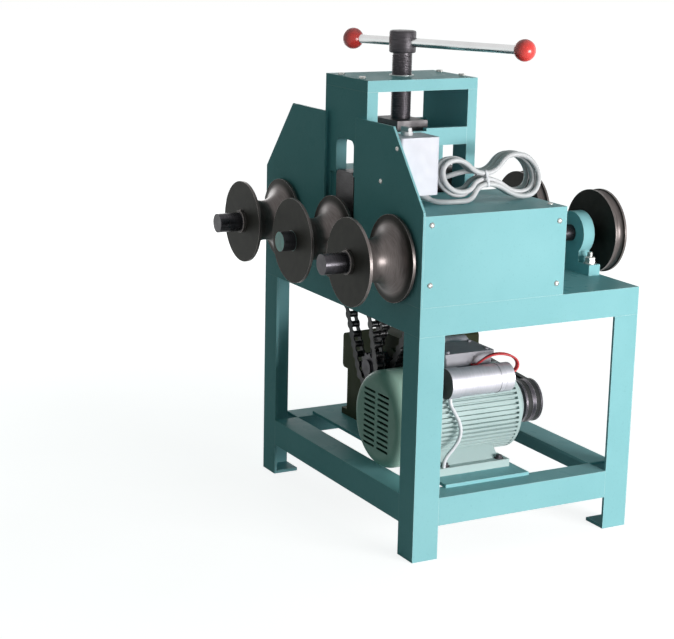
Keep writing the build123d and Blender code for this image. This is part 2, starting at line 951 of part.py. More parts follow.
with BuildPart() as reducer_output:
    output_shaft_back = output_bore_back - free_gap
    round_bar(output_x, output_height, output_shaft_front, output_shaft_back, drive_radius)
    for depth in chain_depths.values():
        sprocket(output_x, output_height, depth, lower_teeth)
save(reducer_output, "reducer_output")


# Pulleys and belts
belt_middles = [pulley_front + pulley_width / 2 + offset for offset in (-belt_offset, belt_offset)]


def grooved_pulley(x, height, radius):
    """Add a pulley with two belt grooves."""
    round_bar(x, height, pulley_front, pulley_front + pulley_width, radius)
    groove_half = belt_width / 2 + free_gap
    groove_floor = radius - belt_sink - belt_height - free_gap
    for middle in belt_middles:
        with BuildSketch(upright(middle - groove_half)) as ring:
            with Locations((x, height)):
                Circle(radius)
                Circle(groove_floor, mode=Mode.SUBTRACT)
        extrude(ring.sketch, amount=-2 * groove_half, mode=Mode.SUBTRACT)


with BuildPart() as reducer_input_pulley:
    grooved_pulley(input_x, input_height, reducer_pulley_radius)
    pulley_back = pulley_front + pulley_width
    round_bar(input_x, input_height, input_bore_front + free_gap, pulley_back, input_shaft_radius)
save(reducer_input_pulley, "reducer_input_pulley")

with BuildPart() as motor_pulley:
    grooved_pulley(motor_x, motor_height, motor_pulley_radius)
    round_bar(motor_x, motor_height, pulley_front, pulley_back, motor_shaft_radius, Mode.SUBTRACT)
save(motor_pulley, "motor_pulley")

with BuildPart() as drive_belts:
    for middle in belt_middles:
        for shrink, mode in ((belt_sink, Mode.ADD), (belt_sink + belt_height, Mode.SUBTRACT)):
            with BuildSketch(upright(middle - belt_width / 2)) as loop:
                with Locations((motor_x, motor_height)):
                    Circle(motor_pulley_radius - shrink)
                with Locations((input_x, input_height)):
                    Circle(reducer_pulley_radius - shrink)
                make_hull()
            extrude(loop.sketch, amount=-belt_width, mode=mode)
save(drive_belts, "drive_belts")

# Motor
capacitor_places = (
    (capacitor_one_x, capacitor_one_height),
    (capacitor_two_x, capacitor_two_height),
)


def toward_capacitor(place, radius):
    """Plane square to the line from the motor's axis to a capacitor, at a radius."""
    across = place[0] - motor_x
    rise = place[1] - motor_height
    distance = hypot(across, rise)
    aim = (across / distance, 0, rise / distance)
    middle = front + (motor_front + motor_back) / 2
    origin = (motor_x + radius * aim[0], middle, motor_height + radius * aim[2])
    return Plane(origin=origin, x_dir=(0, 1, 0), z_dir=aim)


with BuildPart() as motor_housing:
    round_bar(motor_x, motor_height, motor_front, motor_back, motor_core)
    with BuildSketch(upright(motor_front)) as fins:
        with Locations((motor_x, motor_height)):
            fin_root = motor_core - motor_fin_thick
            with PolarLocations((fin_root + motor_fin_radius) / 2, motor_fin_count):
                Rectangle(motor_fin_radius - fin_root, motor_fin_thick)
    extrude(fins.sketch, amount=motor_front - motor_back)
    round_bar(motor_x, motor_height, motor_front, motor_front + motor_bell, fan_cover_radius)
    bell_back = motor_back + motor_back_bell
    with BuildSketch(lengthwise(motor_x, motor_height)) as bell:
        with BuildLine():
            Polyline(
                (motor_back - motor_bell, 0),
                (motor_back - motor_bell, motor_fin_radius),
                (motor_back, motor_fin_radius),
                (bell_back, motor_back_bell_radius),
                (bell_back, 0),
                close=True,
            )
        make_face()
    revolve(bell.sketch, axis=Axis((motor_x, front, motor_height), (0, 1, 0)))
    foot_top = plate_height + motor_foot_height
    for sign in (-1, 1):
        block(
            motor_x + sign * motor_foot_inner,
            motor_x + sign * motor_foot_half,
            motor_front,
            motor_foot_back,
            plate_height,
            foot_top,
        )
    gusset_reach = motor_gusset_share * motor_core
    outline(
        [
            (motor_x - motor_foot_half + motor_foot_height, foot_top),
            (motor_x - motor_foot_inner, plate_height),
            (motor_x + motor_foot_inner, plate_height),
            (motor_x + motor_foot_half - motor_foot_height, foot_top),
            (motor_x + gusset_reach, motor_height - gusset_reach),
            (motor_x - gusset_reach, motor_height - gusset_reach),
        ],
        motor_front,
        motor_foot_back - motor_foot_height,
    )
    block(
        terminal_left,
        terminal_right,
        terminal_front,
        terminal_back,
        motor_height + motor_bore + motor_fin_thick,
        terminal_seat,
    )
    for place in capacitor_places:
        with BuildSketch(toward_capacitor(place, motor_core - motor_fin_thick)) as pad:
            Rectangle(2 * capacitor_pad_width, capacitor_pad_width)
        extrude(pad.sketch, amount=capacitor_pad_radius - motor_core + motor_fin_thick)
    block(
        terminal_left,
        terminal_right,
        terminal_front,
        terminal_back,
        terminal_seat,
        motor_height + motor_fin_radius,
        Mode.SUBTRACT,
    )
    bore_front = motor_front + motor_bell
    bore_back = motor_back - motor_bell
    round_bar(motor_x, motor_height, bore_front, bore_back, motor_bore, Mode.SUBTRACT)
    shaft_hole = motor_shaft_radius + running_gap
    round_bar(motor_x, motor_height, motor_front, bell_back, shaft_hole, Mode.SUBTRACT)
save(motor_housing, "motor_housing")

with BuildPart() as motor_fan_cover:
    inner_radius = fan_cover_radius - fan_cover_sheet
    shoulder = fan_cover_nose + fan_cover_round
    face_radius = fan_cover_radius - fan_cover_round
    inner_nose = fan_cover_nose + fan_cover_sheet
    with BuildSketch(lengthwise(motor_x, motor_height)) as shell:
        with BuildLine():
            Line((fan_cover_nose, 0), (fan_cover_nose, face_radius))
            RadiusArc((fan_cover_nose, face_radius), (shoulder, fan_cover_radius), fan_cover_round)
            Line((shoulder, fan_cover_radius), (motor_front, fan_cover_radius))
            Line((motor_front, fan_cover_radius), (motor_front, inner_radius))
            Line((motor_front, inner_radius), (shoulder, inner_radius))
            inner_round = fan_cover_round - fan_cover_sheet
            RadiusArc((shoulder, inner_radius), (inner_nose, face_radius), -inner_round)
            Line((inner_nose, face_radius), (inner_nose, 0))
            Line((inner_nose, 0), (fan_cover_nose, 0))
        make_face()
    revolve(axis=Axis((motor_x, front, motor_height), (0, 1, 0)))
    with BuildSketch(upright(fan_cover_nose)) as slots:
        with Locations((motor_x, motor_height)):
            with GridLocations(2 * fan_slot_centre, fan_slot_pitch, 2, fan_slot_rows):
                SlotOverall(fan_slot_length, fan_slot_height)
    extrude(amount=-fan_cover_round, mode=Mode.SUBTRACT)
save(motor_fan_cover, "motor_fan_cover")

with BuildPart() as motor_rotor:
    round_bar(motor_x, motor_height, fan_front, pulley_back, motor_shaft_radius)
    rotor_front = bore_front + motor_rotor_inset
    rotor_back = bore_back - motor_rotor_inset
    round_bar(motor_x, motor_height, rotor_front, rotor_back, motor_rotor_radius)
    round_bar(motor_x, motor_height, fan_front, fan_back, fan_hub)
    with BuildSketch(upright(fan_front)) as blades:
        with Locations((motor_x, motor_height)):
            with PolarLocations(fan_radius / 2, fan_blades):
                Rectangle(fan_radius, fan_blade_thick)
    extrude(amount=fan_front - fan_back)
save(motor_rotor, "motor_rotor")

with BuildPart() as terminal_box:
    block(
        terminal_left,
        terminal_right,
        terminal_front,
        terminal_back,
        terminal_seat,
        terminal_top,
    )
    fillet(terminal_box.edges().filter_by(Axis.Z), terminal_corner)
    block(
        terminal_left - terminal_lid_lap,
        terminal_right + terminal_lid_lap,
        terminal_front - terminal_lid_lap,
        terminal_back + terminal_lid_lap,
        terminal_top,
        terminal_top + terminal_lid,
    )
    lid_top = terminal_top + terminal_lid
    for x in (terminal_left + lid_screw_inset, terminal_right - lid_screw_inset):
        for depth in (terminal_front + lid_screw_inset, terminal_back - lid_screw_inset):
            round_post(x, depth, lid_top, lid_top + lid_screw_height, lid_screw_radius)
save(terminal_box, "terminal_box")

with BuildPart() as capacitors:
    cap_end = capacitor_one_front + capacitor_cap_length
    round_bar(capacitor_one_x, capacitor_one_height, cap_end, capacitor_one_back, capacitor_one_radius)
    boot_radius = capacitor_one_radius + capacitor_cap_wall
    round_bar(capacitor_one_x, capacitor_one_height, capacitor_one_front, cap_end, boot_radius)
    round_bar(
        capacitor_two_x,
        capacitor_two_height,
        capacitor_two_front,
        capacitor_two_back,
        capacitor_two_radius,
    )
    for place in capacitor_places:
        reach = hypot(place[0] - motor_x, place[1] - motor_height)
        with BuildSketch(toward_capacitor(place, capacitor_pad_radius)) as saddle:
            Rectangle(2 * capacitor_pad_width, capacitor_pad_width)
        extrude(saddle.sketch, amount=reach - capacitor_pad_radius)
save(capacitors, "capacitors")

# Switch box with a rotary knob
switch_middle = (switch_left + switch_right) / 2
with BuildPart() as switch_box:
    block(switch_left, switch_right, wing_thick, switch_back, switch_bottom, switch_top)
    fillet(switch_box.edges().filter_by(Axis.Z), switch_corner)
    stem_hole = knob_stem_radius + running_gap
    hole_bottom = switch_top - knob_stem_depth - free_gap
    round_post(switch_middle, knob_depth, hole_bottom, switch_top, stem_hole, Mode.SUBTRACT)
save(switch_box, "switch_box")

with BuildPart() as switch_knob:
    knob_foot = switch_top + free_gap
    stem_foot = switch_top - knob_stem_depth
    round_post(switch_middle, knob_depth, stem_foot, knob_foot, knob_stem_radius)
    round_post(switch_middle, knob_depth, knob_foot, knob_foot + knob_height / 2, knob_radius)
    grip_half = knob_radius / 3
    block(
        switch_middle - knob_radius * knob_pointer,
        switch_middle + knob_radius,
        knob_depth - grip_half,
        knob_depth + grip_half,
        knob_foot,
        knob_foot + knob_height,
    )
save(switch_knob, "switch_knob")


# Mains cord: a lead from the box, a hank that leans back on the right cover, and a plug
lead_height = cover_top + cord_lift + cord_radius


def biarc(start, start_dir, end, end_dir):
    """Joint of two tangent arcs between two places with given headings."""
    chord = end - start
    headings = start_dir + end_dir
    a = 2 * (1 - start_dir.dot(end_dir))
    b = 2 * chord.dot(headings)
    c = -chord.dot(chord)
    if abs(a) < 1e-6:
        reach = -c / b
    else:
        reach = (-b + (b * b - 4 * a * c) ** 0.5) / (2 * a)
    return (start + start_dir * reach + end - end_dir * reach) * 0.5


def hank_place(turn):
    """Centre of the cord and its heading at a count of turns from the right waist."""
    swing = hank_turns_per_layer
    phase = turn % (2 * swing)
    inward = turn if turn < 0 else swing - abs(phase - swing)
    layer = 0.0
    slope = 0.0
    for reversal in range(1, hank_layers):
        share = min(max((turn - reversal * swing + 0.25) * 2, 0.0), 1.0)
        layer += share * share * (3 - 2 * share)
        slope += 12 * share * (1 - share)
    lobe = hank_lobe - inward * hank_step
    waist = hank_waist - inward * hank_waist_step
    tip = hank_length - inward * hank_step
    turn_stations = (
        (waist, 0, 0, 1),
        (lobe, hank_lobe_depth, 0, 1),
        (0, tip, -1, 0),
        (-lobe, hank_lobe_depth, 0, -1),
        (-waist, 0, 0, -1),
        (-lobe, -hank_lobe_depth, 0, -1),
        (0, -tip, 1, 0),
        (lobe, -hank_lobe_depth, 0, 1),
    )
    across, along, head_x, head_y = turn_stations[round(turn * 8) % 8]
    level = cos(radians(hank_lean))
    steep = sin(radians(hank_lean))
    middle = lead_height + (hank_lobe + hank_step / 8) * steep
    side = hank_x + across * level - layer * hank_layer_step
    place = Vector(side, front + hank_depth + along, middle - across * steep)
    turn_length = hank_turn_share * 4 * (hank_length + hank_lobe)
    drift = slope * hank_layer_step / turn_length
    return place, Vector(head_x * level - drift, head_y, -head_x * steep).normalized()


hank_start_turn = -0.125
hank_end_turn = hank_layers * hank_turns_per_layer - 0.5
hank_steps = round((hank_end_turn - hank_start_turn) * 8)
stations = [hank_place(hank_start_turn + index / 8) for index in range(hank_steps + 1)]
cord_straight = 2 * cord_radius
hank_begin = stations[0][0] - stations[0][1] * cord_straight
hank_finish = stations[-1][0] + stations[-1][1] * cord_straight

with BuildPart() as cord_hank:
    with BuildLine() as hank_path:
        Line(hank_begin, stations[0][0])
        for (place, heading), (next_place, next_heading) in zip(stations, stations[1:]):
            joint = biarc(place, heading, next_place, next_heading)
            first = TangentArc(place, joint, tangent=heading)
            TangentArc(joint, next_place, tangent=first % 1)
        Line(stations[-1][0], hank_finish)
    with BuildSketch(Plane(origin=hank_begin, z_dir=stations[0][1])) as cord_section:
        Circle(cord_radius)
    sweep()
save(cord_hank, "cord_hank")
hank_length_swept = hank_path.wire().length
hank_share = cord_hank.part.volume / (pi * cord_radius**2 * hank_length_swept)
print(f"hank {hank_length_swept:.0f} mm long, volume share {hank_share:.4f}")


def least_self_gap(wire, radius, spacing):
    """Least surface gap between stretches of a cord that are far apart along it."""
    count = int(wire.length / spacing)
    points = [wire.position_at(index / count) for index in range(count + 1)]
    skip = int(8 * radius / spacing)
    least = 1e9
    cell = 6 * radius
    grid = {}
    for index, point in enumerate(points):
        key = (int(point.X // cell), int(point.Y // cell), int(point.Z // cell))
        grid.setdefault(key, []).append(index)
    for index, point in enumerate(points):
        base = (int(point.X // cell), int(point.Y // cell), int(point.Z // cell))
        for shift in range(27):
            key = (base[0] + shift % 3 - 1, base[1] + shift // 3 % 3 - 1, base[2] + shift // 9 - 1)
            for other in grid.get(key, []):
                if other - index > skip:
                    least = min(least, (points[other] - point).length)
    return least - 2 * radius


print(f"hank least gap to itself {least_self_gap(hank_path.wire(), cord_radius, 2.0):.2f} mm")


def cord_tube(points, radius, share=cord_arc_share):
    """Add a tube on straight runs with arcs as large as the runs allow."""
    route = [Vector(x, front + depth, height) for x, depth, height in points]
    radii = []
    for before, corner, after in zip(route, route[1:], route[2:]):
        shorter = min((corner - before).length, (after - corner).length)
        half_turn = radians((corner - before).get_angle(after - corner)) / 2
        radii.append(share * shorter * cos(half_turn) / sin(half_turn))
    print("cord radii", [round(value) for value in radii])
    with BuildLine() as path:
        FilletPolyline(*route, radius=radii)
    with BuildSketch(Plane(origin=route[0], z_dir=route[1] - route[0])) as section:
        Circle(radius)
    sweep(section.sketch, path=path.wire())


plug_height = cover_top + cord_lift + plug_radius
lead_route = [
    (172.5, 62.5, switch_bottom),
    (172.5, 62.5, cover_top + 13.0),
    (175.0, 64.2, cover_top + 7.8),
    (179.3, 67.0, lead_height),
    (190.4, 75.8, lead_height),
    (198.7, 87.5, lead_height),
    (203.8, 100.8, lead_height),
    (hank_begin.X, 115.0, lead_height),
    (hank_begin.X, hank_begin.Y - front, hank_begin.Z),
]
tail_route = [
    (hank_finish.X, hank_finish.Y - front, hank_finish.Z),
    (hank_finish.X, 176.0, hank_finish.Z),
    (152.1, 164.1, cover_top + 47.0),
    (148.1, 152.2, cover_top + 43.9),
    (142.3, 140.4, cover_top + 39.4),
    (135.4, 128.5, cover_top + 34.1),
    (128.2, 116.6, cover_top + 28.2),
    (121.3, 104.7, cover_top + 23.1),
    (115.5, 92.9, cover_top + 18.6),
    (111.5, 81.0, cover_top + 15.5),
    (plug_x, 69.1, plug_height),
    (plug_x, plug_back, plug_height),
]
with BuildPart() as power_cord:
    cord_tube(lead_route, cord_radius)
    cord_tube(tail_route, cord_radius)
save(power_cord, "power_cord")

with BuildPart() as cord_plug:
    neck_front = plug_back - plug_length / 3
    round_bar(plug_x, plug_height, neck_front, plug_back, plug_neck_radius)
    body_front = plug_back - plug_length
    round_bar(plug_x, plug_height, body_front, neck_front, plug_radius)
    for offset in (-plug_pin_offset, plug_pin_offset):
        block(
            plug_x + offset - plug_pin_half_thick,
            plug_x + offset + plug_pin_half_thick,
            body_front - plug_pin_length,
            body_front,
            plug_height - plug_pin_half_width,
            plug_height + plug_pin_half_width,
        )
save(cord_plug, "cord_plug")

# Leads between the motor's terminal box, its capacitor and its foot
boot_bottom = capacitor_one_height - boot_radius
lead_drop = boot_bottom - foot_top
white_lead = [
    (capacitor_one_x, 128.0, boot_bottom),
    (capacitor_one_x, 128.0, foot_top + 0.92 * lead_drop),
    (197.0, 133.0, foot_top + 0.81 * lead_drop),
    (202.0, 141.0, foot_top + 0.68 * lead_drop),
    (204.5, 145.0, foot_top + 0.53 * lead_drop),
    (205.0, 141.0, foot_top + 0.39 * lead_drop),
    (204.5, 130.0, foot_top + 0.27 * lead_drop),
    (203.3, 118.0, foot_top + 0.17 * lead_drop),
    (203.0, 112.0, foot_top + 0.08 * lead_drop),
    (203.0, 112.0, foot_top),
]
wire_exit = terminal_top - 16.0
near_wire = [
    (terminal_right, 192.0, wire_exit),
    (166.0, 192.0, wire_exit),
    (175.0, 196.0, capacitor_one_height + 26.5),
    (181.0, 205.0, capacitor_one_height + 35.5),
    (185.0, 218.5, capacitor_one_height + 41.0),
    (188.0, 232.0, capacitor_one_height + 42.0),
    (190.0, 246.5, capacitor_one_height + 39.5),
    (191.0, 260.0, capacitor_one_height + 34.0),
    (191.0, 269.5, capacitor_one_height + 24.5),
    (191.0, 269.5, capacitor_one_height + 13.0),
    (191.0, 259.5, capacitor_one_height + 5.2),
    (191.0, capacitor_one_back, capacitor_one_height + 5.2),
]
far_wire = [
    (terminal_right, 198.5, wire_exit),
    (162.0, 198.5, wire_exit),
    (169.5, 201.0, capacitor_one_height + 26.5),
    (175.5, 210.0, capacitor_one_height + 35.5),
    (179.0, 222.0, capacitor_one_height + 41.0),
    (182.0, 235.0, capacitor_one_height + 42.0),
    (184.0, 248.5, capacitor_one_height + 39.5),
    (185.0, 260.0, capacitor_one_height + 34.0),
    (185.0, 269.5, capacitor_one_height + 24.5),
    (185.0, 269.5, capacitor_one_height + 13.0),
    (185.0, 259.5, capacitor_one_height + 5.2),
    (185.0, capacitor_one_back, capacitor_one_height + 5.2),
]
with BuildPart() as motor_leads:
    cord_tube(white_lead, lead_radius)
    cord_tube(near_wire, wire_radius)
    cord_tube(far_wire, wire_radius)
save(motor_leads, "motor_leads")
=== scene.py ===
import json
from math import cos, pi, radians, sin

import bmesh
import bpy
from mathutils import Matrix, Vector


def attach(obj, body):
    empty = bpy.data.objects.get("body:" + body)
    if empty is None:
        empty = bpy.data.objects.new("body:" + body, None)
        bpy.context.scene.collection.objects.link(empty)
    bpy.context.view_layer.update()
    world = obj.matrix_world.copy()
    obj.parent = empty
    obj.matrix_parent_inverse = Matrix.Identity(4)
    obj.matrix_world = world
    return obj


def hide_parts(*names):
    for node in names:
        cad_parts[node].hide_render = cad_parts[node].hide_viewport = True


# Electric three-roll pipe bender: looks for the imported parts, in metres.
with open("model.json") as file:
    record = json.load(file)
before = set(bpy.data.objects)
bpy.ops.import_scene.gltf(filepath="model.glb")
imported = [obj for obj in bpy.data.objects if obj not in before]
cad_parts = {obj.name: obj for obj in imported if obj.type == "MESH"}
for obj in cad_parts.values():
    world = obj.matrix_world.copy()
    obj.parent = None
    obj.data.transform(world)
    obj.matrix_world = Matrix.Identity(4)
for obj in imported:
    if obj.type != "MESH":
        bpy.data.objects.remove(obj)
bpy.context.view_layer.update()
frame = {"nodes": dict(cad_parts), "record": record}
nodes = frame["nodes"]
scene = bpy.context.scene
scene.view_settings.view_transform = "Standard"

# Routes and sizes of pieces are in millimetres, with depths counted from the front of the stand.
# The camera, the materials and the lights are in metres.
FRONT = -179.0
UP, TO_FRONT, TO_BACK = (0, 0, 1), (0, -1, 0), (0, 1, 0)


def place(x, depth, height):
    """A point of the machine, from millimetres and a depth behind the stand's front, in metres."""
    return Vector((x / 1000, (FRONT + depth) / 1000, height / 1000))


# Camera, fitted to the corners of the stand in the photograph
AZIMUTH, PITCH, ROLL = radians(61.38), radians(13.35), radians(1.26)
CAMERA_PLACE = (2.6584, -1.6276, 1.0834)
SENSOR_WIDTH, LENS = 36.0, 92.16
forward = Vector((-sin(AZIMUTH) * cos(PITCH), cos(AZIMUTH) * cos(PITCH), -sin(PITCH)))
level = Vector((cos(AZIMUTH), sin(AZIMUTH), 0))
upright = level.cross(forward)
camera_x = level * cos(ROLL) + upright * sin(ROLL)
camera_y = upright * cos(ROLL) - level * sin(ROLL)
camera_turn = Matrix((camera_x, camera_y, -forward)).transposed().to_4x4()
camera_data = bpy.data.cameras.new("camera")
camera_data.sensor_width = SENSOR_WIDTH
camera_data.lens = LENS
camera = bpy.data.objects.new("camera", camera_data)
scene.collection.objects.link(camera)
camera.matrix_world = Matrix.Translation(CAMERA_PLACE) @ camera_turn
scene.camera = camera


# Node materials
class Shader:
    """A material with one Principled shader, and short calls for the nodes that feed it."""

    def __init__(self, name, roughness, metallic=0.0, specular=0.5):
        self.material = bpy.data.materials.new(name)
        self.material.use_nodes = True
        self.tree = self.material.node_tree
        self.surface = self.tree.nodes["Principled BSDF"]
        self.surface.inputs["Roughness"].default_value = roughness
        self.surface.inputs["Metallic"].default_value = metallic
        self.surface.inputs["Specular IOR Level"].default_value = specular
        self.where = self.add("ShaderNodeTexCoord").outputs["Object"]

    def add(self, kind, **settings):
        node = self.tree.nodes.new(kind)
        for key, value in settings.items():
            setattr(node, key, value)
        return node

    def link(self, output, target):
        self.tree.links.new(output, target)

    def stretched(self, scale):
        """The object's own coordinates, stretched by axis."""
        mapping = self.add("ShaderNodeMapping")
        mapping.inputs["Scale"].default_value = scale
        self.link(self.where, mapping.inputs["Vector"])
        return mapping.outputs["Vector"]

    def noise(self, scale, detail, vector=None):
        node = self.add("ShaderNodeTexNoise")
        node.inputs["Scale"].default_value = scale
        node.inputs["Detail"].default_value = detail
        self.link(vector or self.where, node.inputs["Vector"])
        return node.outputs["Fac"]

    def ramp(self, value, *stops):
        """Colours or greys at places along a value from 0 to 1."""
        node = self.add("ShaderNodeValToRGB")
        for element, (position, colour) in zip(node.color_ramp.elements, stops):
            element.position = position
            shade = colour if isinstance(colour, tuple) else (colour, colour, colour)
            element.color = (*shade, 1)
        self.link(value, node.inputs["Fac"])
        return node.outputs["Color"]

    def cloud(self, scale, detail, low, high):
        """Noise of one scale, as a ramp between two stops."""
        return self.ramp(self.noise(scale, detail), low, high)

    def mix(self, share, first, second):
        node = self.add("ShaderNodeMix", data_type="RGBA")
        colours = [socket for socket in node.inputs if socket.type == "RGBA"]
        sockets = (node.inputs["Factor"], colours[0], colours[1])
        for value, socket in zip((share, first, second), sockets):
            if isinstance(value, bpy.types.NodeSocket):
                self.link(value, socket)
            else:
                socket.default_value = (*value, 1)
        return [socket for socket in node.outputs if socket.type == "RGBA"][0]

    def colour(self, output):
        self.link(output, self.surface.inputs["Base Color"])

    def roughness(self, output):
        self.link(output, self.surface.inputs["Roughness"])

    def relief(self, output, height, strength, edge):
        """Bump from a value, over edges that the bevel node rounds."""
        bump = self.add("ShaderNodeBump")
        bump.inputs["Distance"].default_value = height
        bump.inputs["Strength"].default_value = strength
        self.link(output, bump.inputs["Height"])
        self.link(self.rounded(edge), bump.inputs["Normal"])
        self.link(bump.outputs["Normal"], self.surface.inputs["Normal"])

    def rounded(self, radius):
        bevel = self.add("ShaderNodeBevel", samples=4)
        bevel.inputs["Radius"].default_value = radius
        return bevel.outputs["Normal"]

    def facing(self, direction, low, high):
        """From 0 to 1 as the surface turns towards a direction, by the cosine between them."""
        geometry = self.add("ShaderNodeNewGeometry")
        turn = self.add("ShaderNodeVectorMath", operation="DOT_PRODUCT")
        self.link(geometry.outputs["Normal"], turn.inputs[0])
        turn.inputs[1].default_value = direction
        return self.ramp(turn.outputs["Value"], (low, 0.0), (high, 1.0))

    def edge_mask(self, radius, low, high):
        """Near 1 along sharp edges, from the turn of the rounded normal."""
        geometry = self.add("ShaderNodeNewGeometry")
        turn = self.add("ShaderNodeVectorMath", operation="DOT_PRODUCT")
        self.link(self.rounded(radius), turn.inputs[0])
        self.link(geometry.outputs["True Normal"], turn.inputs[1])
        return self.ramp(turn.outputs["Value"], (low, 1.0), (high, 0.0))


# How tool marks stretch: in rings round an axis, or the same in all directions
ROUND_Y = (0.06, 1.0, 0.06)
ROUND_Z = (0.06, 0.06, 1.0)
EVEN = (1.0, 1.0, 1.0)
BLACK, WHITE = (0, 0, 0), (1, 1, 1)


def shaded(colour, share):
    return tuple(channel * share for channel in colour)


def grey(value):
    return (value, value, value)


def paint(name, dark, light, wear_and_highlight, roughness, specular=0.06):
    """Brushed or sprayed enamel: uneven tone, slight orange peel, and pale edges, partly from paint
    wearing off and partly a painted highlight.
    """
    shader = Shader(name, roughness, specular=specular)
    tone = shader.cloud(5.0, 4.0, (0.35, dark), (0.68, light))
    specks = shader.cloud(260.0, 2.0, (0.62, 0.0), (0.72, 0.18))
    tone = shader.mix(specks, tone, shaded(dark, 0.7))
    # Edges, and patches along them, turn pale: partly paint wearing through, partly a painted edge
    # highlight
    edge = shader.edge_mask(radius=0.0012, low=0.88, high=0.99)
    patches = shader.cloud(38.0, 4.0, (0.30, 0.35), (0.60, 0.85))
    wear_and_highlight_mask = shader.mix(edge, BLACK, patches)
    shader.colour(shader.mix(wear_and_highlight_mask, tone, wear_and_highlight))
    shader.roughness(shader.cloud(22.0, 3.0, (0.3, roughness - 0.06), (0.75, roughness + 0.1)))
    shader.relief(shader.noise(420.0, 2.0), height=0.0004, strength=0.12, edge=0.0009)
    return shader.material


def turned_metal(name, dark, light, roughness, metallic, rings, fine=900.0, rim=None, stain=0.4):
    """Turned or drawn metal: close tool marks along one axis, tarnish, and lighter edges, partly
    rubbed by use and partly a painted highlight.
    """
    shader = Shader(name, roughness, metallic=metallic)
    marks = shader.noise(fine, 3.0, shader.stretched(rings))
    tone = shader.ramp(marks, (0.3, dark), (0.7, light))
    tarnish = shader.cloud(30.0, 5.0, (0.5, 0.0), (0.75, stain))
    tone = shader.mix(tarnish, tone, shaded(dark, 0.55))
    # Edge colour, the rim colour if one is given, else a lighter tone: partly rubbed metal, partly
    # a painted highlight
    rubbed_and_highlight_edge = rim or tuple(min(channel * 1.5, 0.75) for channel in light)
    shader.colour(shader.mix(shader.edge_mask(radius=0.0012, low=0.84, high=0.99), tone, rubbed_and_highlight_edge))
    shader.roughness(shader.cloud(60.0, 4.0, (0.3, roughness - 0.05), (0.75, roughness + 0.14)))
    shader.relief(marks, height=0.0002, strength=0.25, edge=0.0006)
    return shader.material


def roll_metal(name):
    """Blackened rolls: flange faces darker, partly a matt finish and partly painted shade, and a
    groove and rims that tubes have rubbed, lightened further at the edges as a painted highlight.
    """
    shader = Shader(name, 0.3, metallic=0.6, specular=0.2)
    marks = shader.noise(900.0, 3.0, shader.stretched(ROUND_Y))
    rubbed = shader.ramp(marks, (0.3, (0.110, 0.093, 0.089)), (0.7, (0.170, 0.147, 0.142)))
    dull_and_shaded = shader.cloud(60.0, 4.0, (0.3, (0.010, 0.010, 0.008)), (0.7, (0.018, 0.018, 0.014)))
    # Front and back flange faces take the dark colour: partly a matt finish, partly painted shade
    # on the front faces
    front = shader.facing(TO_FRONT, low=0.90, high=0.98)
    back = shader.facing(TO_BACK, low=0.90, high=0.98)
    faces = shader.mix(front, back, WHITE)
    edge = shader.edge_mask(radius=0.0016, low=0.84, high=0.99)
    tone = shader.mix(faces, rubbed, dull_and_shaded)
    # Edges get a light colour: partly rubbed metal, partly a painted highlight
    shader.colour(shader.mix(edge, tone, (0.30, 0.27, 0.26)))
    polish = shader.ramp(marks, (0.3, 0.30), (0.7, 0.40))
    shader.roughness(shader.mix(faces, polish, grey(0.55)))
    shader.relief(marks, height=0.0002, strength=0.2, edge=0.0008)
    return shader.material


def end_painted(name, dark, light, roughness, paint_dark, paint_light):
    """Drawn metal whose front end face is painted."""
    shader = Shader(name, roughness, metallic=0.5)
    marks = shader.noise(700.0, 3.0, shader.stretched(ROUND_Y))
    metal = shader.ramp(marks, (0.3, dark), (0.7, light))
    coat = shader.cloud(90.0, 4.0, (0.35, paint_dark), (0.7, paint_light))
    end = shader.facing(TO_FRONT, low=0.86, high=0.95)
    shader.colour(shader.mix(end, metal, coat))
    shader.roughness(shader.cloud(60.0, 3.0, (0.3, roughness - 0.05), (0.75, roughness + 0.1)))
    shader.link(shader.mix(end, grey(0.55), BLACK), shader.surface.inputs["Metallic"])
    shader.relief(marks, height=0.0002, strength=0.2, edge=0.0007)
    return shader.material


def moulded(name, dark, light, roughness, grain, height, sheen=0.0):
    """Moulded plastic or rubber with a fine grain."""
    shader = Shader(name, roughness)
    shader.surface.inputs["Sheen Weight"].default_value = sheen
    shader.colour(shader.cloud(14.0, 4.0, (0.35, dark), (0.7, light)))
    shader.roughness(shader.cloud(80.0, 3.0, (0.3, roughness - 0.05), (0.7, roughness + 0.08)))
    shader.relief(shader.noise(grain, 2.0), height, strength=0.35, edge=0.0008)
    return shader.material


# The pale edge colour of each enamel is partly wear and partly a painted highlight
teal = paint(
    "teal_enamel", dark=(0.245, 0.510, 0.540), light=(0.280, 0.555, 0.585),
    wear_and_highlight=(0.62, 0.82, 0.82), roughness=0.30, specular=0.012,
)
motor_enamel = paint(
    "motor_enamel", dark=(0.43, 0.54, 0.53), light=(0.50, 0.61, 0.60),
    wear_and_highlight=(0.6, 0.66, 0.62), roughness=0.36,
)
cover_enamel = paint(
    "cover_enamel", dark=(0.36, 0.52, 0.43), light=(0.42, 0.59, 0.50),
    wear_and_highlight=(0.5, 0.58, 0.52), roughness=0.28,
)
olive = paint(
    "olive_enamel", dark=(0.045, 0.050, 0.025), light=(0.070, 0.075, 0.035),
    wear_and_highlight=(0.2, 0.2, 0.14), roughness=0.5,
)
black_roll = roll_metal("blackened_rolls")
black_block = turned_metal(
    "blackened_block", dark=(0.055, 0.049, 0.052), light=(0.105, 0.094, 0.098),
    roughness=0.42, metallic=0.4, rings=ROUND_Z,
)
screw_steel = turned_metal(
    "screw_steel", dark=(0.030, 0.026, 0.030), light=(0.074, 0.066, 0.074),
    roughness=0.36, metallic=0.6, rings=ROUND_Z,
)
bright_bar = turned_metal(
    "bright_bar", dark=grey(0.64), light=grey(0.74),
    roughness=0.20, metallic=1.0, rings=EVEN, fine=20.0, stain=0.06,
)
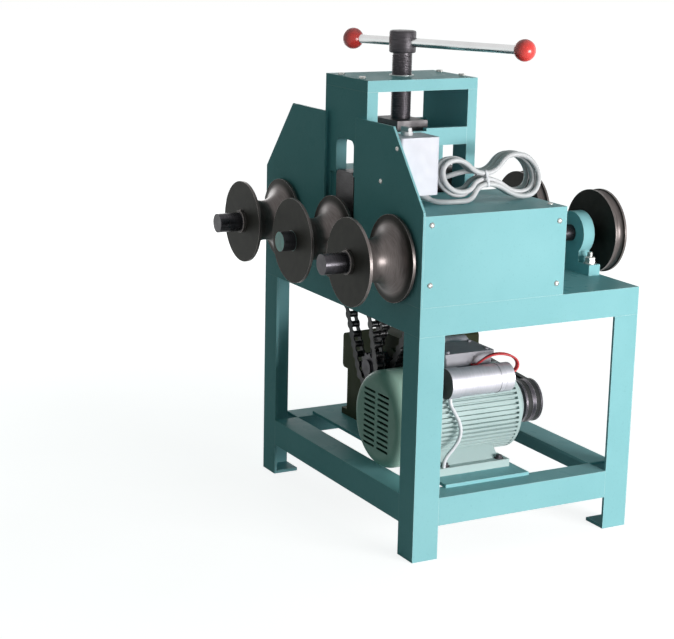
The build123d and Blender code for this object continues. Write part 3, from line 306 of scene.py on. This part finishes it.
shaft_steel = turned_metal(
    "shaft_steel", dark=(0.026, 0.024, 0.028), light=(0.066, 0.061, 0.070),
    roughness=0.28, metallic=0.7, rings=ROUND_Y,
)
gear_steel = turned_metal(
    "gear_steel", dark=(0.18, 0.17, 0.16), light=(0.34, 0.33, 0.31),
    roughness=0.4, metallic=0.9, rings=ROUND_Y,
)
# The pulley's light rim colour is partly rubbed metal and partly a painted highlight on its rims
pulley_steel = turned_metal(
    "pulley_steel", dark=(0.075, 0.065, 0.078), light=(0.22, 0.20, 0.225),
    roughness=0.30, metallic=0.75, rings=ROUND_Y, rim=(0.55, 0.52, 0.55), stain=0.12,
)
zinc = turned_metal(
    "zinc_plate", dark=(0.34, 0.34, 0.33), light=(0.52, 0.52, 0.49),
    roughness=0.32, metallic=0.9, rings=EVEN, fine=300.0,
)
nut_steel = turned_metal(
    "nut_steel", dark=(0.40, 0.46, 0.45), light=(0.56, 0.62, 0.60),
    roughness=0.36, metallic=0.6, rings=ROUND_Z,
)
chain_steel = turned_metal(
    "chain_steel", dark=(0.010, 0.010, 0.011), light=(0.032, 0.031, 0.032),
    roughness=0.32, metallic=0.5, rings=EVEN, fine=240.0, rim=grey(0.05),
)
centre_steel = end_painted(
    "painted_end_steel", dark=(0.035, 0.033, 0.038), light=(0.085, 0.080, 0.090),
    roughness=0.32, paint_dark=(0.03, 0.30, 0.26), paint_light=(0.06, 0.42, 0.37),
)
can = end_painted(
    "capacitor_can", dark=(0.62, 0.60, 0.65), light=(0.72, 0.70, 0.76),
    roughness=0.44, paint_dark=(0.020, 0.018, 0.020), paint_light=(0.045, 0.042, 0.046),
)
red = moulded(
    "red_plastic", dark=(0.80, 0.050, 0.042), light=(0.88, 0.075, 0.062),
    roughness=0.24, grain=30.0, height=0.00002,
)
white_box = moulded(
    "white_plastic", dark=(0.57, 0.56, 0.62), light=(0.615, 0.60, 0.65),
    roughness=0.46, grain=900.0, height=0.0003,
)
grey_box = moulded(
    "grey_plastic", dark=(0.27, 0.26, 0.29), light=(0.36, 0.35, 0.38),
    roughness=0.45, grain=700.0, height=0.0004,
)
black_plastic = moulded(
    "black_plastic", dark=grey(0.016), light=grey(0.030),
    roughness=0.42, grain=700.0, height=0.0003,
)
knob_plastic = moulded(
    "knob_plastic", dark=(0.50, 0.49, 0.50), light=(0.60, 0.59, 0.60),
    roughness=0.36, grain=700.0, height=0.0002,
)
belt_rubber = moulded(
    "belt_rubber", dark=grey(0.012), light=grey(0.026),
    roughness=0.7, grain=600.0, height=0.0005, sheen=0.2,
)
sheath = moulded(
    "cord_sheath", dark=(0.56, 0.55, 0.56), light=(0.64, 0.63, 0.64),
    roughness=0.46, grain=300.0, height=0.0002,
)
white_sheath = moulded(
    "lead_sheath", dark=(0.68, 0.67, 0.70), light=(0.76, 0.75, 0.78),
    roughness=0.5, grain=300.0, height=0.0002,
)
red_sheath = moulded(
    "wire_sheath", dark=(0.55, 0.03, 0.035), light=(0.66, 0.05, 0.05),
    roughness=0.4, grain=300.0, height=0.0001,
)

# The finish of each of the record's slots, and the nodes that have a finish of their own
finish_of = {
    "teal_paint": teal,
    "black_steel": black_roll,
    "bright_steel": shaft_steel,
    "bronze": nut_steel,
    "red_plastic": red,
    "zinc_steel": zinc,
    "olive_paint": olive,
    "motor_paint": motor_enamel,
    "chain_steel": chain_steel,
    "belt_rubber": belt_rubber,
    "capacitor_can": can,
    "dark_plastic": grey_box,
    "white_plastic": white_box,
    "black_plastic": black_plastic,
    "cord_sheath": sheath,
}
special = {
    "slide_block": black_block,
    "press_screw": screw_steel,
    "handle_bar": bright_bar,
    "left_gear": gear_steel,
    "right_gear": gear_steel,
    "shaft_bearings": gear_steel,
    "motor_pulley": pulley_steel,
    "reducer_input_pulley": pulley_steel,
    "centre_shaft": centre_steel,
    "motor_fan_cover": cover_enamel,
    "switch_knob": knob_plastic,
}
slot_of = {part["node"]: part["material_slot"] for part in frame["record"]["subparts"]}
for name, node in nodes.items():
    node.data.materials.clear()
    node.data.materials.append(special.get(name, finish_of[slot_of[name]]))


# Cords: each is one smooth spline on the route of its CAD tube
def cord_curve(name, points, radius, material):
    data = bpy.data.curves.new(name, "CURVE")
    data.dimensions = "3D"
    spline = data.splines.new("NURBS")
    spline.points.add(len(points) - 1)
    for control, point in zip(spline.points, points):
        control.co = (*point, 1)
    spline.order_u = 3
    spline.use_endpoint_u = True
    spline.resolution_u = 6
    data.bevel_depth = radius / 1000
    data.bevel_resolution = 5
    data.use_fill_caps = True
    data.materials.append(material)
    piece = bpy.data.objects.new(name, data)
    scene.collection.objects.link(piece)
    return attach(piece, "frame")


CORD_RADIUS = 4.5
# Height of the cord's middle where it lies on the cover
LEAD_HEIGHT = 604.8
HANK_X, HANK_DEPTH = 189.0, 194.0
# The outer turn: its half length, its half width in the lobes and how far out they lie, its waist
HANK_LENGTH, HANK_LOBE, HANK_LOBE_DEPTH, HANK_WAIST = 102.0, 38.0, 64.0, 12.0
# From an outer turn to the next one inward, at the lobes and the waist, and from layer to layer
HANK_STEP, HANK_WAIST_STEP, HANK_LAYER_STEP = 8.7, 8.5, 10.6
# The waist lies off the middle, and its tie draws the layers together
WAIST_SHIFT, WAIST_GATHER = -8.0, 0.9
# The cord goes from one layer to the next in LAYER_CHANGE of a turn
HANK_LAYERS, TURNS_PER_LAYER, LAYER_CHANGE = 4, 1, 0.5
MIDDLE_LAYER = (HANK_LAYERS - 1) / 2
STATIONS_PER_TURN, HANK_STATIONS = 8, 30
HANK_LEAN = radians(65.0)
HANK_LEVEL, HANK_STEEP = cos(HANK_LEAN), sin(HANK_LEAN)


def hank_station(turn):
    """A place on the hank and the cord's heading there, at a count of turns from the near waist."""
    inward = turn
    if turn >= 0:
        inward = TURNS_PER_LAYER - abs(turn % (2 * TURNS_PER_LAYER) - TURNS_PER_LAYER)
    layer = 0.0
    for reversal in range(1, HANK_LAYERS):
        start = reversal * TURNS_PER_LAYER - LAYER_CHANGE / 2
        share = min(max((turn - start) / LAYER_CHANGE, 0.0), 1.0)
        layer += share * share * (3 - 2 * share)
    lobe = HANK_LOBE - inward * HANK_STEP
    waist = HANK_WAIST - inward * HANK_WAIST_STEP
    tip = HANK_LENGTH - inward * HANK_STEP
    # Each row: across, along, heading across, heading along, and how much the loose turn springs up
    around = (
        (waist, WAIST_SHIFT, 0, 1, 0.0),
        (lobe, HANK_LOBE_DEPTH, 0, 1, 0.0),
        (0, tip, -1, 0, 2.0),
        (-lobe, HANK_LOBE_DEPTH, 0, -1, 4.0),
        (-waist, WAIST_SHIFT, 0, -1, 0.0),
        (-lobe, -HANK_LOBE_DEPTH, 0, -1, 1.0),
        (0, -tip, 1, 0, 6.0),
        (lobe, -HANK_LOBE_DEPTH, 0, 1, 7.0),
    )
    row = round(turn * STATIONS_PER_TURN) % STATIONS_PER_TURN
    across, along, head_x, head_y, spring = around[row]
    # The outermost lobe rests on the cover
    middle = LEAD_HEIGHT + (HANK_LOBE + HANK_STEP / STATIONS_PER_TURN) * HANK_STEEP
    if turn > 0:
        middle += spring
    if along == WAIST_SHIFT:
        layer = MIDDLE_LAYER + (layer - MIDDLE_LAYER) * WAIST_GATHER
    side = HANK_X + across * HANK_LEVEL - layer * HANK_LAYER_STEP
    heading = Vector((head_x * HANK_LEVEL, head_y, -head_x * HANK_STEEP))
    return place(side, HANK_DEPTH + along, middle - across * HANK_STEEP), heading


def hank_corners():
    """Corners of the line of tangents round the hank, two for each eighth of a turn."""
    corners = []
    stations = [hank_station((index - 1) / STATIONS_PER_TURN) for index in range(HANK_STATIONS)]
    for (start, heading), (end, end_heading) in zip(stations, stations[1:]):
        # Both tangents have one length, half of the line between their ends: a quadratic gives it
        span = end - start
        a = 2 * (1 - heading.dot(end_heading))
        b = 2 * span.dot(heading + end_heading)
        c = -span.dot(span)
        reach = -c / b if a < 1e-6 else (-b + (b * b - 4 * a * c) ** 0.5) / (2 * a)
        corners += [start + heading * reach, end - end_heading * reach]
    return corners


LEAD_ROUTE = [
    (172.5, 62.5, 619.0),
    (179.0, 67.5, 612.1),
    (194.4, 80.4, 604.8),
    (203.4, 99.6, 604.8),
    (205.6, 115.0, 604.8),
]
TAIL_ROUTE = [
    (155.3, 170.0, 647.5),
    (152.6, 162.1, 646.7),
    (148.1, 152.2, 643.9),
    (142.3, 140.4, 639.4),
    (135.4, 128.5, 634.1),
    (128.2, 116.6, 628.2),
    (121.3, 104.7, 623.1),
    (115.5, 92.9, 618.6),
    (111.5, 81.0, 615.5),
    (110.0, 69.1, 614.3),
    (110.0, 61.0, 614.3),
]
lead, tail = ([place(*point) for point in route] for route in (LEAD_ROUTE, TAIL_ROUTE))
power_cord = cord_curve("mains_cord", lead + hank_corners() + tail, CORD_RADIUS, sheath)
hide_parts("power_cord", "cord_hank")

# Leads of the motor: radius, material, route, and length in metres
MOTOR_LEADS = {
    "capacitor_lead": (3.5, white_sheath, [
        (191.0, 128.0, 252.0), (191.0, 128.0, 242.2), (197.0, 133.0, 228.8),
        (202.0, 141.0, 213.0), (204.5, 145.0, 194.7), (205.0, 141.0, 177.6),
        (204.5, 130.0, 162.9), (203.3, 118.0, 150.7), (203.0, 112.0, 139.8),
        (203.0, 112.0, 130.0),
    ], 0.135),
    "near_wire": (2.0, red_sheath, [
        (156.0, 192.0, 299.0), (166.0, 192.0, 299.0), (175.0, 196.0, 306.0),
        (181.0, 205.0, 315.0), (185.0, 218.5, 320.5), (188.0, 232.0, 321.5),
        (190.0, 246.5, 319.0), (191.0, 260.0, 313.5), (191.0, 269.5, 304.0),
        (191.0, 269.5, 292.5), (191.0, 259.5, 284.7), (191.0, 247.0, 284.7),
    ], 0.138),
    "far_wire": (2.0, red_sheath, [
        (156.0, 198.5, 299.0), (162.0, 198.5, 299.0), (169.5, 201.0, 306.0),
        (175.5, 210.0, 315.0), (179.0, 222.0, 320.5), (182.0, 235.0, 321.5),
        (184.0, 248.5, 319.0), (185.0, 260.0, 313.5), (185.0, 269.5, 304.0),
        (185.0, 269.5, 292.5), (185.0, 259.5, 284.7), (185.0, 247.0, 284.7),
    ], 0.13),
}
for name, (radius, material, route, length) in MOTOR_LEADS.items():
    wire = cord_curve(name, [place(*point) for point in route], radius, material)
    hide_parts("motor_leads")


# Mesh pieces
def axes_for(axis):
    """Two directions square to an axis, and the axis."""
    axis = Vector(axis).normalized()
    side = Vector((0, 0, 1)) if abs(axis.z) < 0.9 else Vector((1, 0, 0))
    first = (side - axis * side.dot(axis)).normalized()
    return first, axis.cross(first), axis


def lathe(bm, profile, origin, axis, steps=48, turn=0.0):
    """A turned form: radius and height pairs in millimetres, closed where the radius is 0."""
    first, second, axis = axes_for(axis)
    rings = []
    for radius, height in profile:
        middle = origin + axis * (height / 1000)
        if radius == 0:
            rings.append([bm.verts.new(middle)])
            continue
        ring = []
        for index in range(steps):
            angle = turn + 2 * pi * index / steps
            outward = first * cos(angle) + second * sin(angle)
            ring.append(bm.verts.new(middle + outward * (radius / 1000)))
        rings.append(ring)
    for lower, upper in zip(rings, rings[1:]):
        for index in range(steps):
            after = (index + 1) % steps
            if len(lower) == 1:
                bm.faces.new((lower[0], upper[index], upper[after]))
            elif len(upper) == 1:
                bm.faces.new((lower[index], lower[after], upper[0]))
            else:
                bm.faces.new((lower[index], lower[after], upper[after], upper[index]))


def mesh_object(bm, name):
    """Turn finished mesh data into an object."""
    bmesh.ops.recalc_face_normals(bm, faces=bm.faces)
    data = bpy.data.meshes.new(name)
    bm.to_mesh(data)
    bm.free()
    piece = bpy.data.objects.new(name, data)
    scene.collection.objects.link(piece)
    return piece


def smooth(piece, angle=35):
    """Smooth shading, with edges sharper than an angle in degrees left sharp."""
    piece.data.shade_smooth()
    piece.data.set_sharp_from_angle(angle=radians(angle))


def piece_from(bm, name, material, body, smooth_angle=35):
    """Turn finished mesh data into a piece that rides on a body."""
    piece = mesh_object(bm, name)
    piece.data.materials.append(material)
    smooth(piece, smooth_angle)
    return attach(piece, body)


def cut(piece, cutter):
    """Cut one piece by another, and remove the cutter."""
    modifier = piece.modifiers.new("cut", "BOOLEAN")
    modifier.operation = "DIFFERENCE"
    modifier.solver = "EXACT"
    modifier.object = cutter
    bpy.context.view_layer.update()
    evaluated = piece.evaluated_get(bpy.context.evaluated_depsgraph_get())
    result = bpy.data.meshes.new_from_object(evaluated)
    piece.modifiers.remove(modifier)
    piece.data = result
    bpy.data.objects.remove(cutter)


# Press screw: a thread of two starts on the shank, and the head with its cross hole
SCREW_X, SCREW_DEPTH = 0.0, 122.0
SCREW_FOOT, SCREW_TIP, HEAD_BOTTOM, HEAD_TOP = 724.3, 14.0, 840.0, 879.0
SCREW_RADIUS, SCREW_ROOT, TIP_RADIUS, HEAD_RADIUS = 18.0, 17.0, 12.0, 24.0
THREAD_LEAD, THREAD_STEPS = 6.0, 40
BAR_ANGLE, BAR_HEIGHT, BAR_RADIUS = radians(27.1), 859.0, 8.0
HOLE_PLAY, HOLE_REACH = 0.2, 40.0
# Shares of the lead and radii, along one turn of both starts
THREAD_FORM = (
    (0.0, SCREW_ROOT), (0.08, SCREW_RADIUS), (0.25, SCREW_RADIUS), (0.33, SCREW_ROOT),
    (0.5, SCREW_ROOT), (0.58, SCREW_RADIUS), (0.75, SCREW_RADIUS), (0.83, SCREW_ROOT),
    (1.0, SCREW_ROOT),
)
SHANK_FORM = [
    (0, SCREW_FOOT - SCREW_TIP), (TIP_RADIUS, SCREW_FOOT - SCREW_TIP), (TIP_RADIUS, SCREW_FOOT),
    (SCREW_ROOT, SCREW_FOOT), (SCREW_ROOT, HEAD_BOTTOM), (0, HEAD_BOTTOM),
]
HEAD_FORM = [
    (0, HEAD_BOTTOM), (HEAD_RADIUS - 3.0, HEAD_BOTTOM), (HEAD_RADIUS - 1.0, HEAD_BOTTOM + 0.6),
    (HEAD_RADIUS, HEAD_BOTTOM + 2.5), (HEAD_RADIUS, HEAD_TOP - 3.0),
    (HEAD_RADIUS - 1.0, HEAD_TOP - 1.0), (HEAD_RADIUS - 3.0, HEAD_TOP), (0, HEAD_TOP),
]
HOLE_FORM = [
    (0, -HOLE_REACH), (BAR_RADIUS + HOLE_PLAY, -HOLE_REACH), (BAR_RADIUS + HOLE_PLAY, HOLE_REACH),
    (0, HOLE_REACH),
]

screw_mesh = bmesh.new()
thread_turns = (HEAD_BOTTOM - SCREW_FOOT) / THREAD_LEAD - 1
strip = []
for index in range(int(thread_turns * THREAD_STEPS) + 1):
    angle = 2 * pi * index / THREAD_STEPS
    rise = SCREW_FOOT + THREAD_LEAD * index / THREAD_STEPS
    row = []
    for share, radius in THREAD_FORM:
        x, depth = SCREW_X + radius * cos(angle), SCREW_DEPTH + radius * sin(angle)
        row.append(screw_mesh.verts.new(place(x, depth, rise + share * THREAD_LEAD)))
    strip.append(row)
for before, after in zip(strip, strip[1:]):
    for index in range(len(THREAD_FORM) - 1):
        screw_mesh.faces.new((before[index], before[index + 1], after[index + 1], after[index]))
screw_base = place(SCREW_X, SCREW_DEPTH, 0)
lathe(screw_mesh, SHANK_FORM, screw_base, UP)
thread = piece_from(screw_mesh, "screw_thread", screw_steel, "screw", 30)

head_mesh = bmesh.new()
lathe(head_mesh, HEAD_FORM, screw_base, UP, 64)
head = piece_from(head_mesh, "screw_head", screw_steel, "screw")
hole_mesh = bmesh.new()
bar_centre = place(SCREW_X, SCREW_DEPTH, BAR_HEIGHT)
lathe(hole_mesh, HOLE_FORM, bar_centre, (cos(BAR_ANGLE), sin(BAR_ANGLE), 0), 40)
cut(head, mesh_object(hole_mesh, "cutter"))
smooth(head)
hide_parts("press_screw")
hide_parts("press_screw")


# Small screws and bolts
def dome_screw(bm, origin, axis, radius, height):
    """A domed head with a round recess."""
    shape = (
        (1, 0), (1, 0.25), (0.86, 0.66), (0.55, 0.92), (0.36, 1), (0.30, 0.62), (0, 0.55),
    )
    lathe(bm, [(wide * radius, high * height) for wide, high in shape], origin, axis, 24)


WASHER_HEIGHT, HEX_TURN = 1.6, 0.4


def hex_bolt(bm, origin, axis, radius, height, washer):
    """A chamfered hexagon on a washer. The height counts from under the washer."""
    ring = [(washer, 0), (washer, WASHER_HEIGHT), (radius * 0.8, WASHER_HEIGHT)]
    lathe(bm, ring, origin, axis, 28)
    hexagon = [
        (radius, WASHER_HEIGHT), (radius, height - 0.16 * radius), (0.84 * radius, height),
        (0, height),
    ]
    lathe(bm, hexagon, origin, axis, 6, HEX_TURN)


BOX_SCREWS = ((200.0, 700.0), (148.0, 638.0))
box_screws = bmesh.new()
for x, height in BOX_SCREWS:
    dome_screw(box_screws, place(x, 0.0, height), TO_FRONT, radius=4.2, height=2.6)
piece_from(box_screws, "box_screws", zinc, "frame")

# Screws of the covers, at the front and at the back: a low and a high one on the side, one on top
COVER_SIDE, COVER_TOP, TOP_SCREW_X = 290.0, 600.0, 260.0
COVER_SCREWS = ((17.0, 484.0, 585.0), (272.0, 467.0, 576.0))
COVER_SCREW = {"radius": 5.0, "height": 3.0}
cover_heads = bmesh.new()
for side in (-1, 1):
    for depth, low, high in COVER_SCREWS:
        for height in (low, high):
            foot = place(side * COVER_SIDE, depth, height)
            dome_screw(cover_heads, foot, (side, 0, 0), **COVER_SCREW)
        foot = place(side * TOP_SCREW_X, depth, COVER_TOP)
        dome_screw(cover_heads, foot, UP, **COVER_SCREW)
cover_dome = piece_from(cover_heads, "cover_screw_heads", zinc, "frame")
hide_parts("cover_screws")

# Studs with nuts on the pillow blocks, and bolts on the motor's feet, over their plain CAD heads
PILLOW_X, PILLOW_BOLT_X, PILLOW_DEPTH, PILLOW_FOOT = 120.0, 46.0, 434.0, 466.0
STUD_FORM = [(5.0, 12.0), (5.0, 20.0), (4.2, 21.5), (0, 21.5)]
studs = bmesh.new()
for side in (-1, 1):
    for offset in (-PILLOW_BOLT_X, PILLOW_BOLT_X):
        foot = place(side * PILLOW_X + offset, PILLOW_DEPTH, PILLOW_FOOT)
        hex_bolt(studs, foot, UP, radius=10.4, height=13.0, washer=12.0)
        lathe(studs, STUD_FORM, foot, UP, 24)
piece_from(studs, "pillow_studs", zinc, "frame", 20)

MOTOR_X, MOTOR_BOLT_X, MOTOR_BOLT_DEPTHS, MOTOR_FOOT = 115.0, 82.0, (118.0, 232.0), 130.0
FOOT_BOLT = {"radius": 6.6, "height": 6.5, "washer": 8.6}
bolts = bmesh.new()
for side in (-1, 1):
    for depth in MOTOR_BOLT_DEPTHS:
        foot = place(MOTOR_X + side * MOTOR_BOLT_X, depth, MOTOR_FOOT)
        hex_bolt(bolts, foot, UP, **FOOT_BOLT)
piece_from(bolts, "motor_bolts", screw_steel, "frame", 20)

# Screws round the fan cover, and the clamp band and bead of the run capacitor
MOTOR_HEIGHT, FAN_COVER_RADIUS, FAN_SCREW_DEPTH = 204.5, 88.0, 88.0
fan_screws = bmesh.new()
fan_middle = place(MOTOR_X, FAN_SCREW_DEPTH, MOTOR_HEIGHT)
for angle in (10.0, 100.0, 190.0, 280.0):
    outward = Vector((cos(radians(angle)), 0, sin(radians(angle))))
    foot = fan_middle + outward * (FAN_COVER_RADIUS / 1000)
    dome_screw(fan_screws, foot, outward, radius=4.0, height=2.4)
piece_from(fan_screws, "fan_cover_screws", zinc, "frame")

CAN_X, CAN_HEIGHT = 191.0, 279.5
BAND_FORM = [(26.0, 219.0), (26.7, 219.0), (26.7, 222.0), (26.0, 222.0)]
BEAD_FORM = [(26.0, 229.0), (26.5, 229.6), (26.5, 230.4), (26.0, 231.0)]
band = bmesh.new()
for form in (BAND_FORM, BEAD_FORM):
    lathe(band, form, place(CAN_X, 0.0, CAN_HEIGHT), TO_BACK, 56)
piece_from(band, "capacitor_band", can, "frame")

# Bolts of the reducer: through its foot, and on its rear plate, with a breather on top
REDUCER_FOOT, REDUCER_REAR = 128.0, 300.0
REDUCER_FOOT_X, REDUCER_FOOT_DEPTHS = (-206.0, 4.0), (155.0, 242.0)
REDUCER_PLATE_BOLTS = (
    (-205.0, 222.0), (-205.0, 268.0), (-92.0, 305.0), (3.0, 305.0), (3.0, 222.0), (-84.0, 222.0),
)
case_bolts = bmesh.new()
for x in REDUCER_FOOT_X:
    for depth in REDUCER_FOOT_DEPTHS:
        hex_bolt(case_bolts, place(x, depth, REDUCER_FOOT), UP, **FOOT_BOLT)
for x, height in REDUCER_PLATE_BOLTS:
    foot = place(x, REDUCER_REAR, height)
    hex_bolt(case_bolts, foot, TO_BACK, radius=5.0, height=4.0, washer=5.8)
breather = place(-40.0, 217.0, 316.0)
hex_bolt(case_bolts, breather, UP, radius=8.0, height=7.0, washer=9.0)
piece_from(case_bolts, "reducer_bolts", screw_steel, "frame", 20)

# Washer and bolt that hold the reducer's input pulley on its shaft
PULLEY_X, PULLEY_HEIGHT, PULLEY_FACE, PULLEY_BOLT_DEPTH = -150.0, 215.0, 354.0, 357.0
PULLEY_WASHER = [(17.0, 0), (17.0, 2.5), (16.2, 3.2), (8.0, 3.2)]
pulley_bolt = bmesh.new()
pulley_face = place(PULLEY_X, PULLEY_FACE, PULLEY_HEIGHT)
lathe(pulley_bolt, PULLEY_WASHER, pulley_face, TO_BACK, 40)
foot = place(PULLEY_X, PULLEY_BOLT_DEPTH, PULLEY_HEIGHT)
hex_bolt(pulley_bolt, foot, TO_BACK, radius=8.0, height=7.5, washer=11.0)
piece_from(pulley_bolt, "pulley_bolt", screw_steel, "reducer_in", 20)

# Strain relief of the mains cord: a tapered sleeve along the first arc of its route
SLEEVE_WIDE, SLEEVE_NARROW, SLEEVE_STEPS, SLEEVE_SIDES = 7.0, 5.1, 8, 24
sleeve = bmesh.new()
leaves, corner, bend_end = lead[:3]
arc_end = (corner + bend_end) / 2
angles = [2 * pi * index / SLEEVE_SIDES for index in range(SLEEVE_SIDES)]
rings = []
for step in range(SLEEVE_STEPS + 1):
    share = step / SLEEVE_STEPS
    before, after = leaves.lerp(corner, share), corner.lerp(arc_end, share)
    middle = before.lerp(after, share)
    turn = (after - before).to_track_quat("Z", "Y")
    radius = (SLEEVE_WIDE + (SLEEVE_NARROW - SLEEVE_WIDE) * share) / 1000
    rings.append([
        sleeve.verts.new(middle + turn @ Vector((cos(angle), sin(angle), 0)) * radius)
        for angle in angles
    ])
for ring, following in zip(rings, rings[1:]):
    for index in range(SLEEVE_SIDES):
        beside = (index + 1) % SLEEVE_SIDES
        sleeve.faces.new((ring[index], ring[beside], following[beside], following[index]))
sleeve.faces.new(rings[0][::-1])
sleeve.faces.new(rings[-1])
piece_from(sleeve, "cord_sleeve", sheath, "frame")

# Tie round the strands of the hank's waist, two for each turn
TIE_WIDTH, TIE_GAP, TIE_THICKNESS, TIE_STEPS = 5.0, 0.2, 0.6, 48
strands = [hank_station(index / 2)[0] for index in range(2 * HANK_LAYERS * TURNS_PER_LAYER)]
tie_mesh = bmesh.new()
loops = [[], []]
for step in range(TIE_STEPS):
    angle = 2 * pi * step / TIE_STEPS
    outward = Vector((cos(angle), 0, sin(angle)))
    outer = max(strands, key=outward.dot) + outward * (CORD_RADIUS + TIE_GAP) / 1000
    for loop, side in zip(loops, (-0.5, 0.5)):
        loop.append(tie_mesh.verts.new(outer + Vector((0, side * TIE_WIDTH / 1000, 0))))
for index in range(TIE_STEPS):
    after = (index + 1) % TIE_STEPS
    tie_mesh.faces.new((loops[0][index], loops[0][after], loops[1][after], loops[1][index]))
hank_tie = piece_from(tie_mesh, "hank_tie", white_sheath, "frame")
thickness = hank_tie.modifiers.new("thickness", "SOLIDIFY")
thickness.thickness = TIE_THICKNESS / 1000
thickness.offset = 1.0


# Floor, light and background
def seen_ray(tree):
    """1 for rays that the camera, a gloss or a glass sees, and 0 for rays that carry light."""
    path = tree.nodes.new("ShaderNodeLightPath")
    total = path.outputs["Is Camera Ray"]
    for kind in ("Is Glossy Ray", "Is Transmission Ray"):
        either = tree.nodes.new("ShaderNodeMath")
        either.operation = "MAXIMUM"
        tree.links.new(total, either.inputs[0])
        tree.links.new(path.outputs[kind], either.inputs[1])
        total = either.outputs["Value"]
    return total


# The floor glows for the camera: a little less under the machine, which paints shade round it, and
# white from GLOW_FAR on
FLOOR_SIZE, FLOOR_HEIGHT = 30.0, -0.0005
GLOW_NEAR, GLOW_FAR, GLOW_LOW, GLOW_HIGH = 0.5, 2.2, 0.86, 1.0
bpy.ops.mesh.primitive_plane_add(size=FLOOR_SIZE, location=(0, 0, FLOOR_HEIGHT))
floor = bpy.context.object
floor.name = "floor"
floor_shader = Shader("floor_white", 0.8, specular=0.0)
floor_shader.colour(floor_shader.cloud(3.0, 2.0, (0.3, 0.40), (0.7, 0.44)))
floor_shader.surface.inputs["Emission Color"].default_value = (1, 1, 1, 1)
distance = floor_shader.add("ShaderNodeVectorMath", operation="LENGTH")
floor_shader.link(floor_shader.where, distance.inputs[0])
glow = floor_shader.add("ShaderNodeMapRange", interpolation_type="SMOOTHSTEP")
glow.inputs["From Min"].default_value = GLOW_NEAR
glow.inputs["From Max"].default_value = GLOW_FAR
glow.inputs["To Min"].default_value = GLOW_LOW
glow.inputs["To Max"].default_value = GLOW_HIGH
floor_shader.link(distance.outputs["Value"], glow.inputs["Value"])
seen_glow = floor_shader.add("ShaderNodeMath", operation="MULTIPLY")
floor_shader.link(glow.outputs["Result"], seen_glow.inputs[0])
floor_shader.link(seen_ray(floor_shader.tree), seen_glow.inputs[1])
floor_shader.link(seen_glow.outputs["Value"], floor_shader.surface.inputs["Emission Strength"])
floor.data.materials.append(floor_shader.material)


def area_light(name, position, target, size, power, colour=WHITE):
    data = bpy.data.lights.new(name, "AREA")
    data.shape = "RECTANGLE"
    data.size, data.size_y = size
    data.energy = power
    data.color = colour
    light = bpy.data.objects.new(name, data)
    light.location = position
    aim = Vector(target) - Vector(position)
    light.rotation_euler = aim.to_track_quat("-Z", "Y").to_euler()
    scene.collection.objects.link(light)


area_light(
    "right_window", position=(3.2, 1.2, 0.6), target=(0, 0, 0.45), size=(2.0, 1.0), power=132.0,
)
area_light(
    "overhead", position=(0.4, 0.4, 3.2), target=(0, 0, 0.3), size=(2.0, 2.0), power=3.0,
)
area_light(
    "front_fill", position=(-0.8, -3.2, 1.2), target=(0, 0, 0.4), size=(2.0, 1.6), power=1.2,
    colour=(0.55, 1.0, 0.95),
)
area_light(
    "left_fill", position=(-3.2, 0.4, 0.9), target=(0, 0, 0.4), size=(2.0, 2.0), power=24.0,
)
area_light(
    "back_fill", position=(0.2, 3.4, 0.9), target=(0, 0, 0.4), size=(2.0, 2.0), power=14.0,
)

# The world lights the machine faintly, and is white where it is seen
AMBIENT_COLOUR, AMBIENT_STRENGTH = (0.48, 0.98, 0.91, 1), 0.115
world = bpy.data.worlds.new("studio")
scene.world = world
world.use_nodes = True
world_tree = world.node_tree
ambient = world_tree.nodes["Background"]
ambient.inputs["Color"].default_value = AMBIENT_COLOUR
ambient.inputs["Strength"].default_value = AMBIENT_STRENGTH
plain = world_tree.nodes.new("ShaderNodeBackground")
plain.inputs["Color"].default_value = (1, 1, 1, 1)
chosen = world_tree.nodes.new("ShaderNodeMixShader")
world_tree.links.new(seen_ray(world_tree), chosen.inputs["Fac"])
world_tree.links.new(ambient.outputs["Background"], chosen.inputs[1])
world_tree.links.new(plain.outputs["Background"], chosen.inputs[2])
world_tree.links.new(chosen.outputs["Shader"], world_tree.nodes["World Output"].inputs["Surface"])
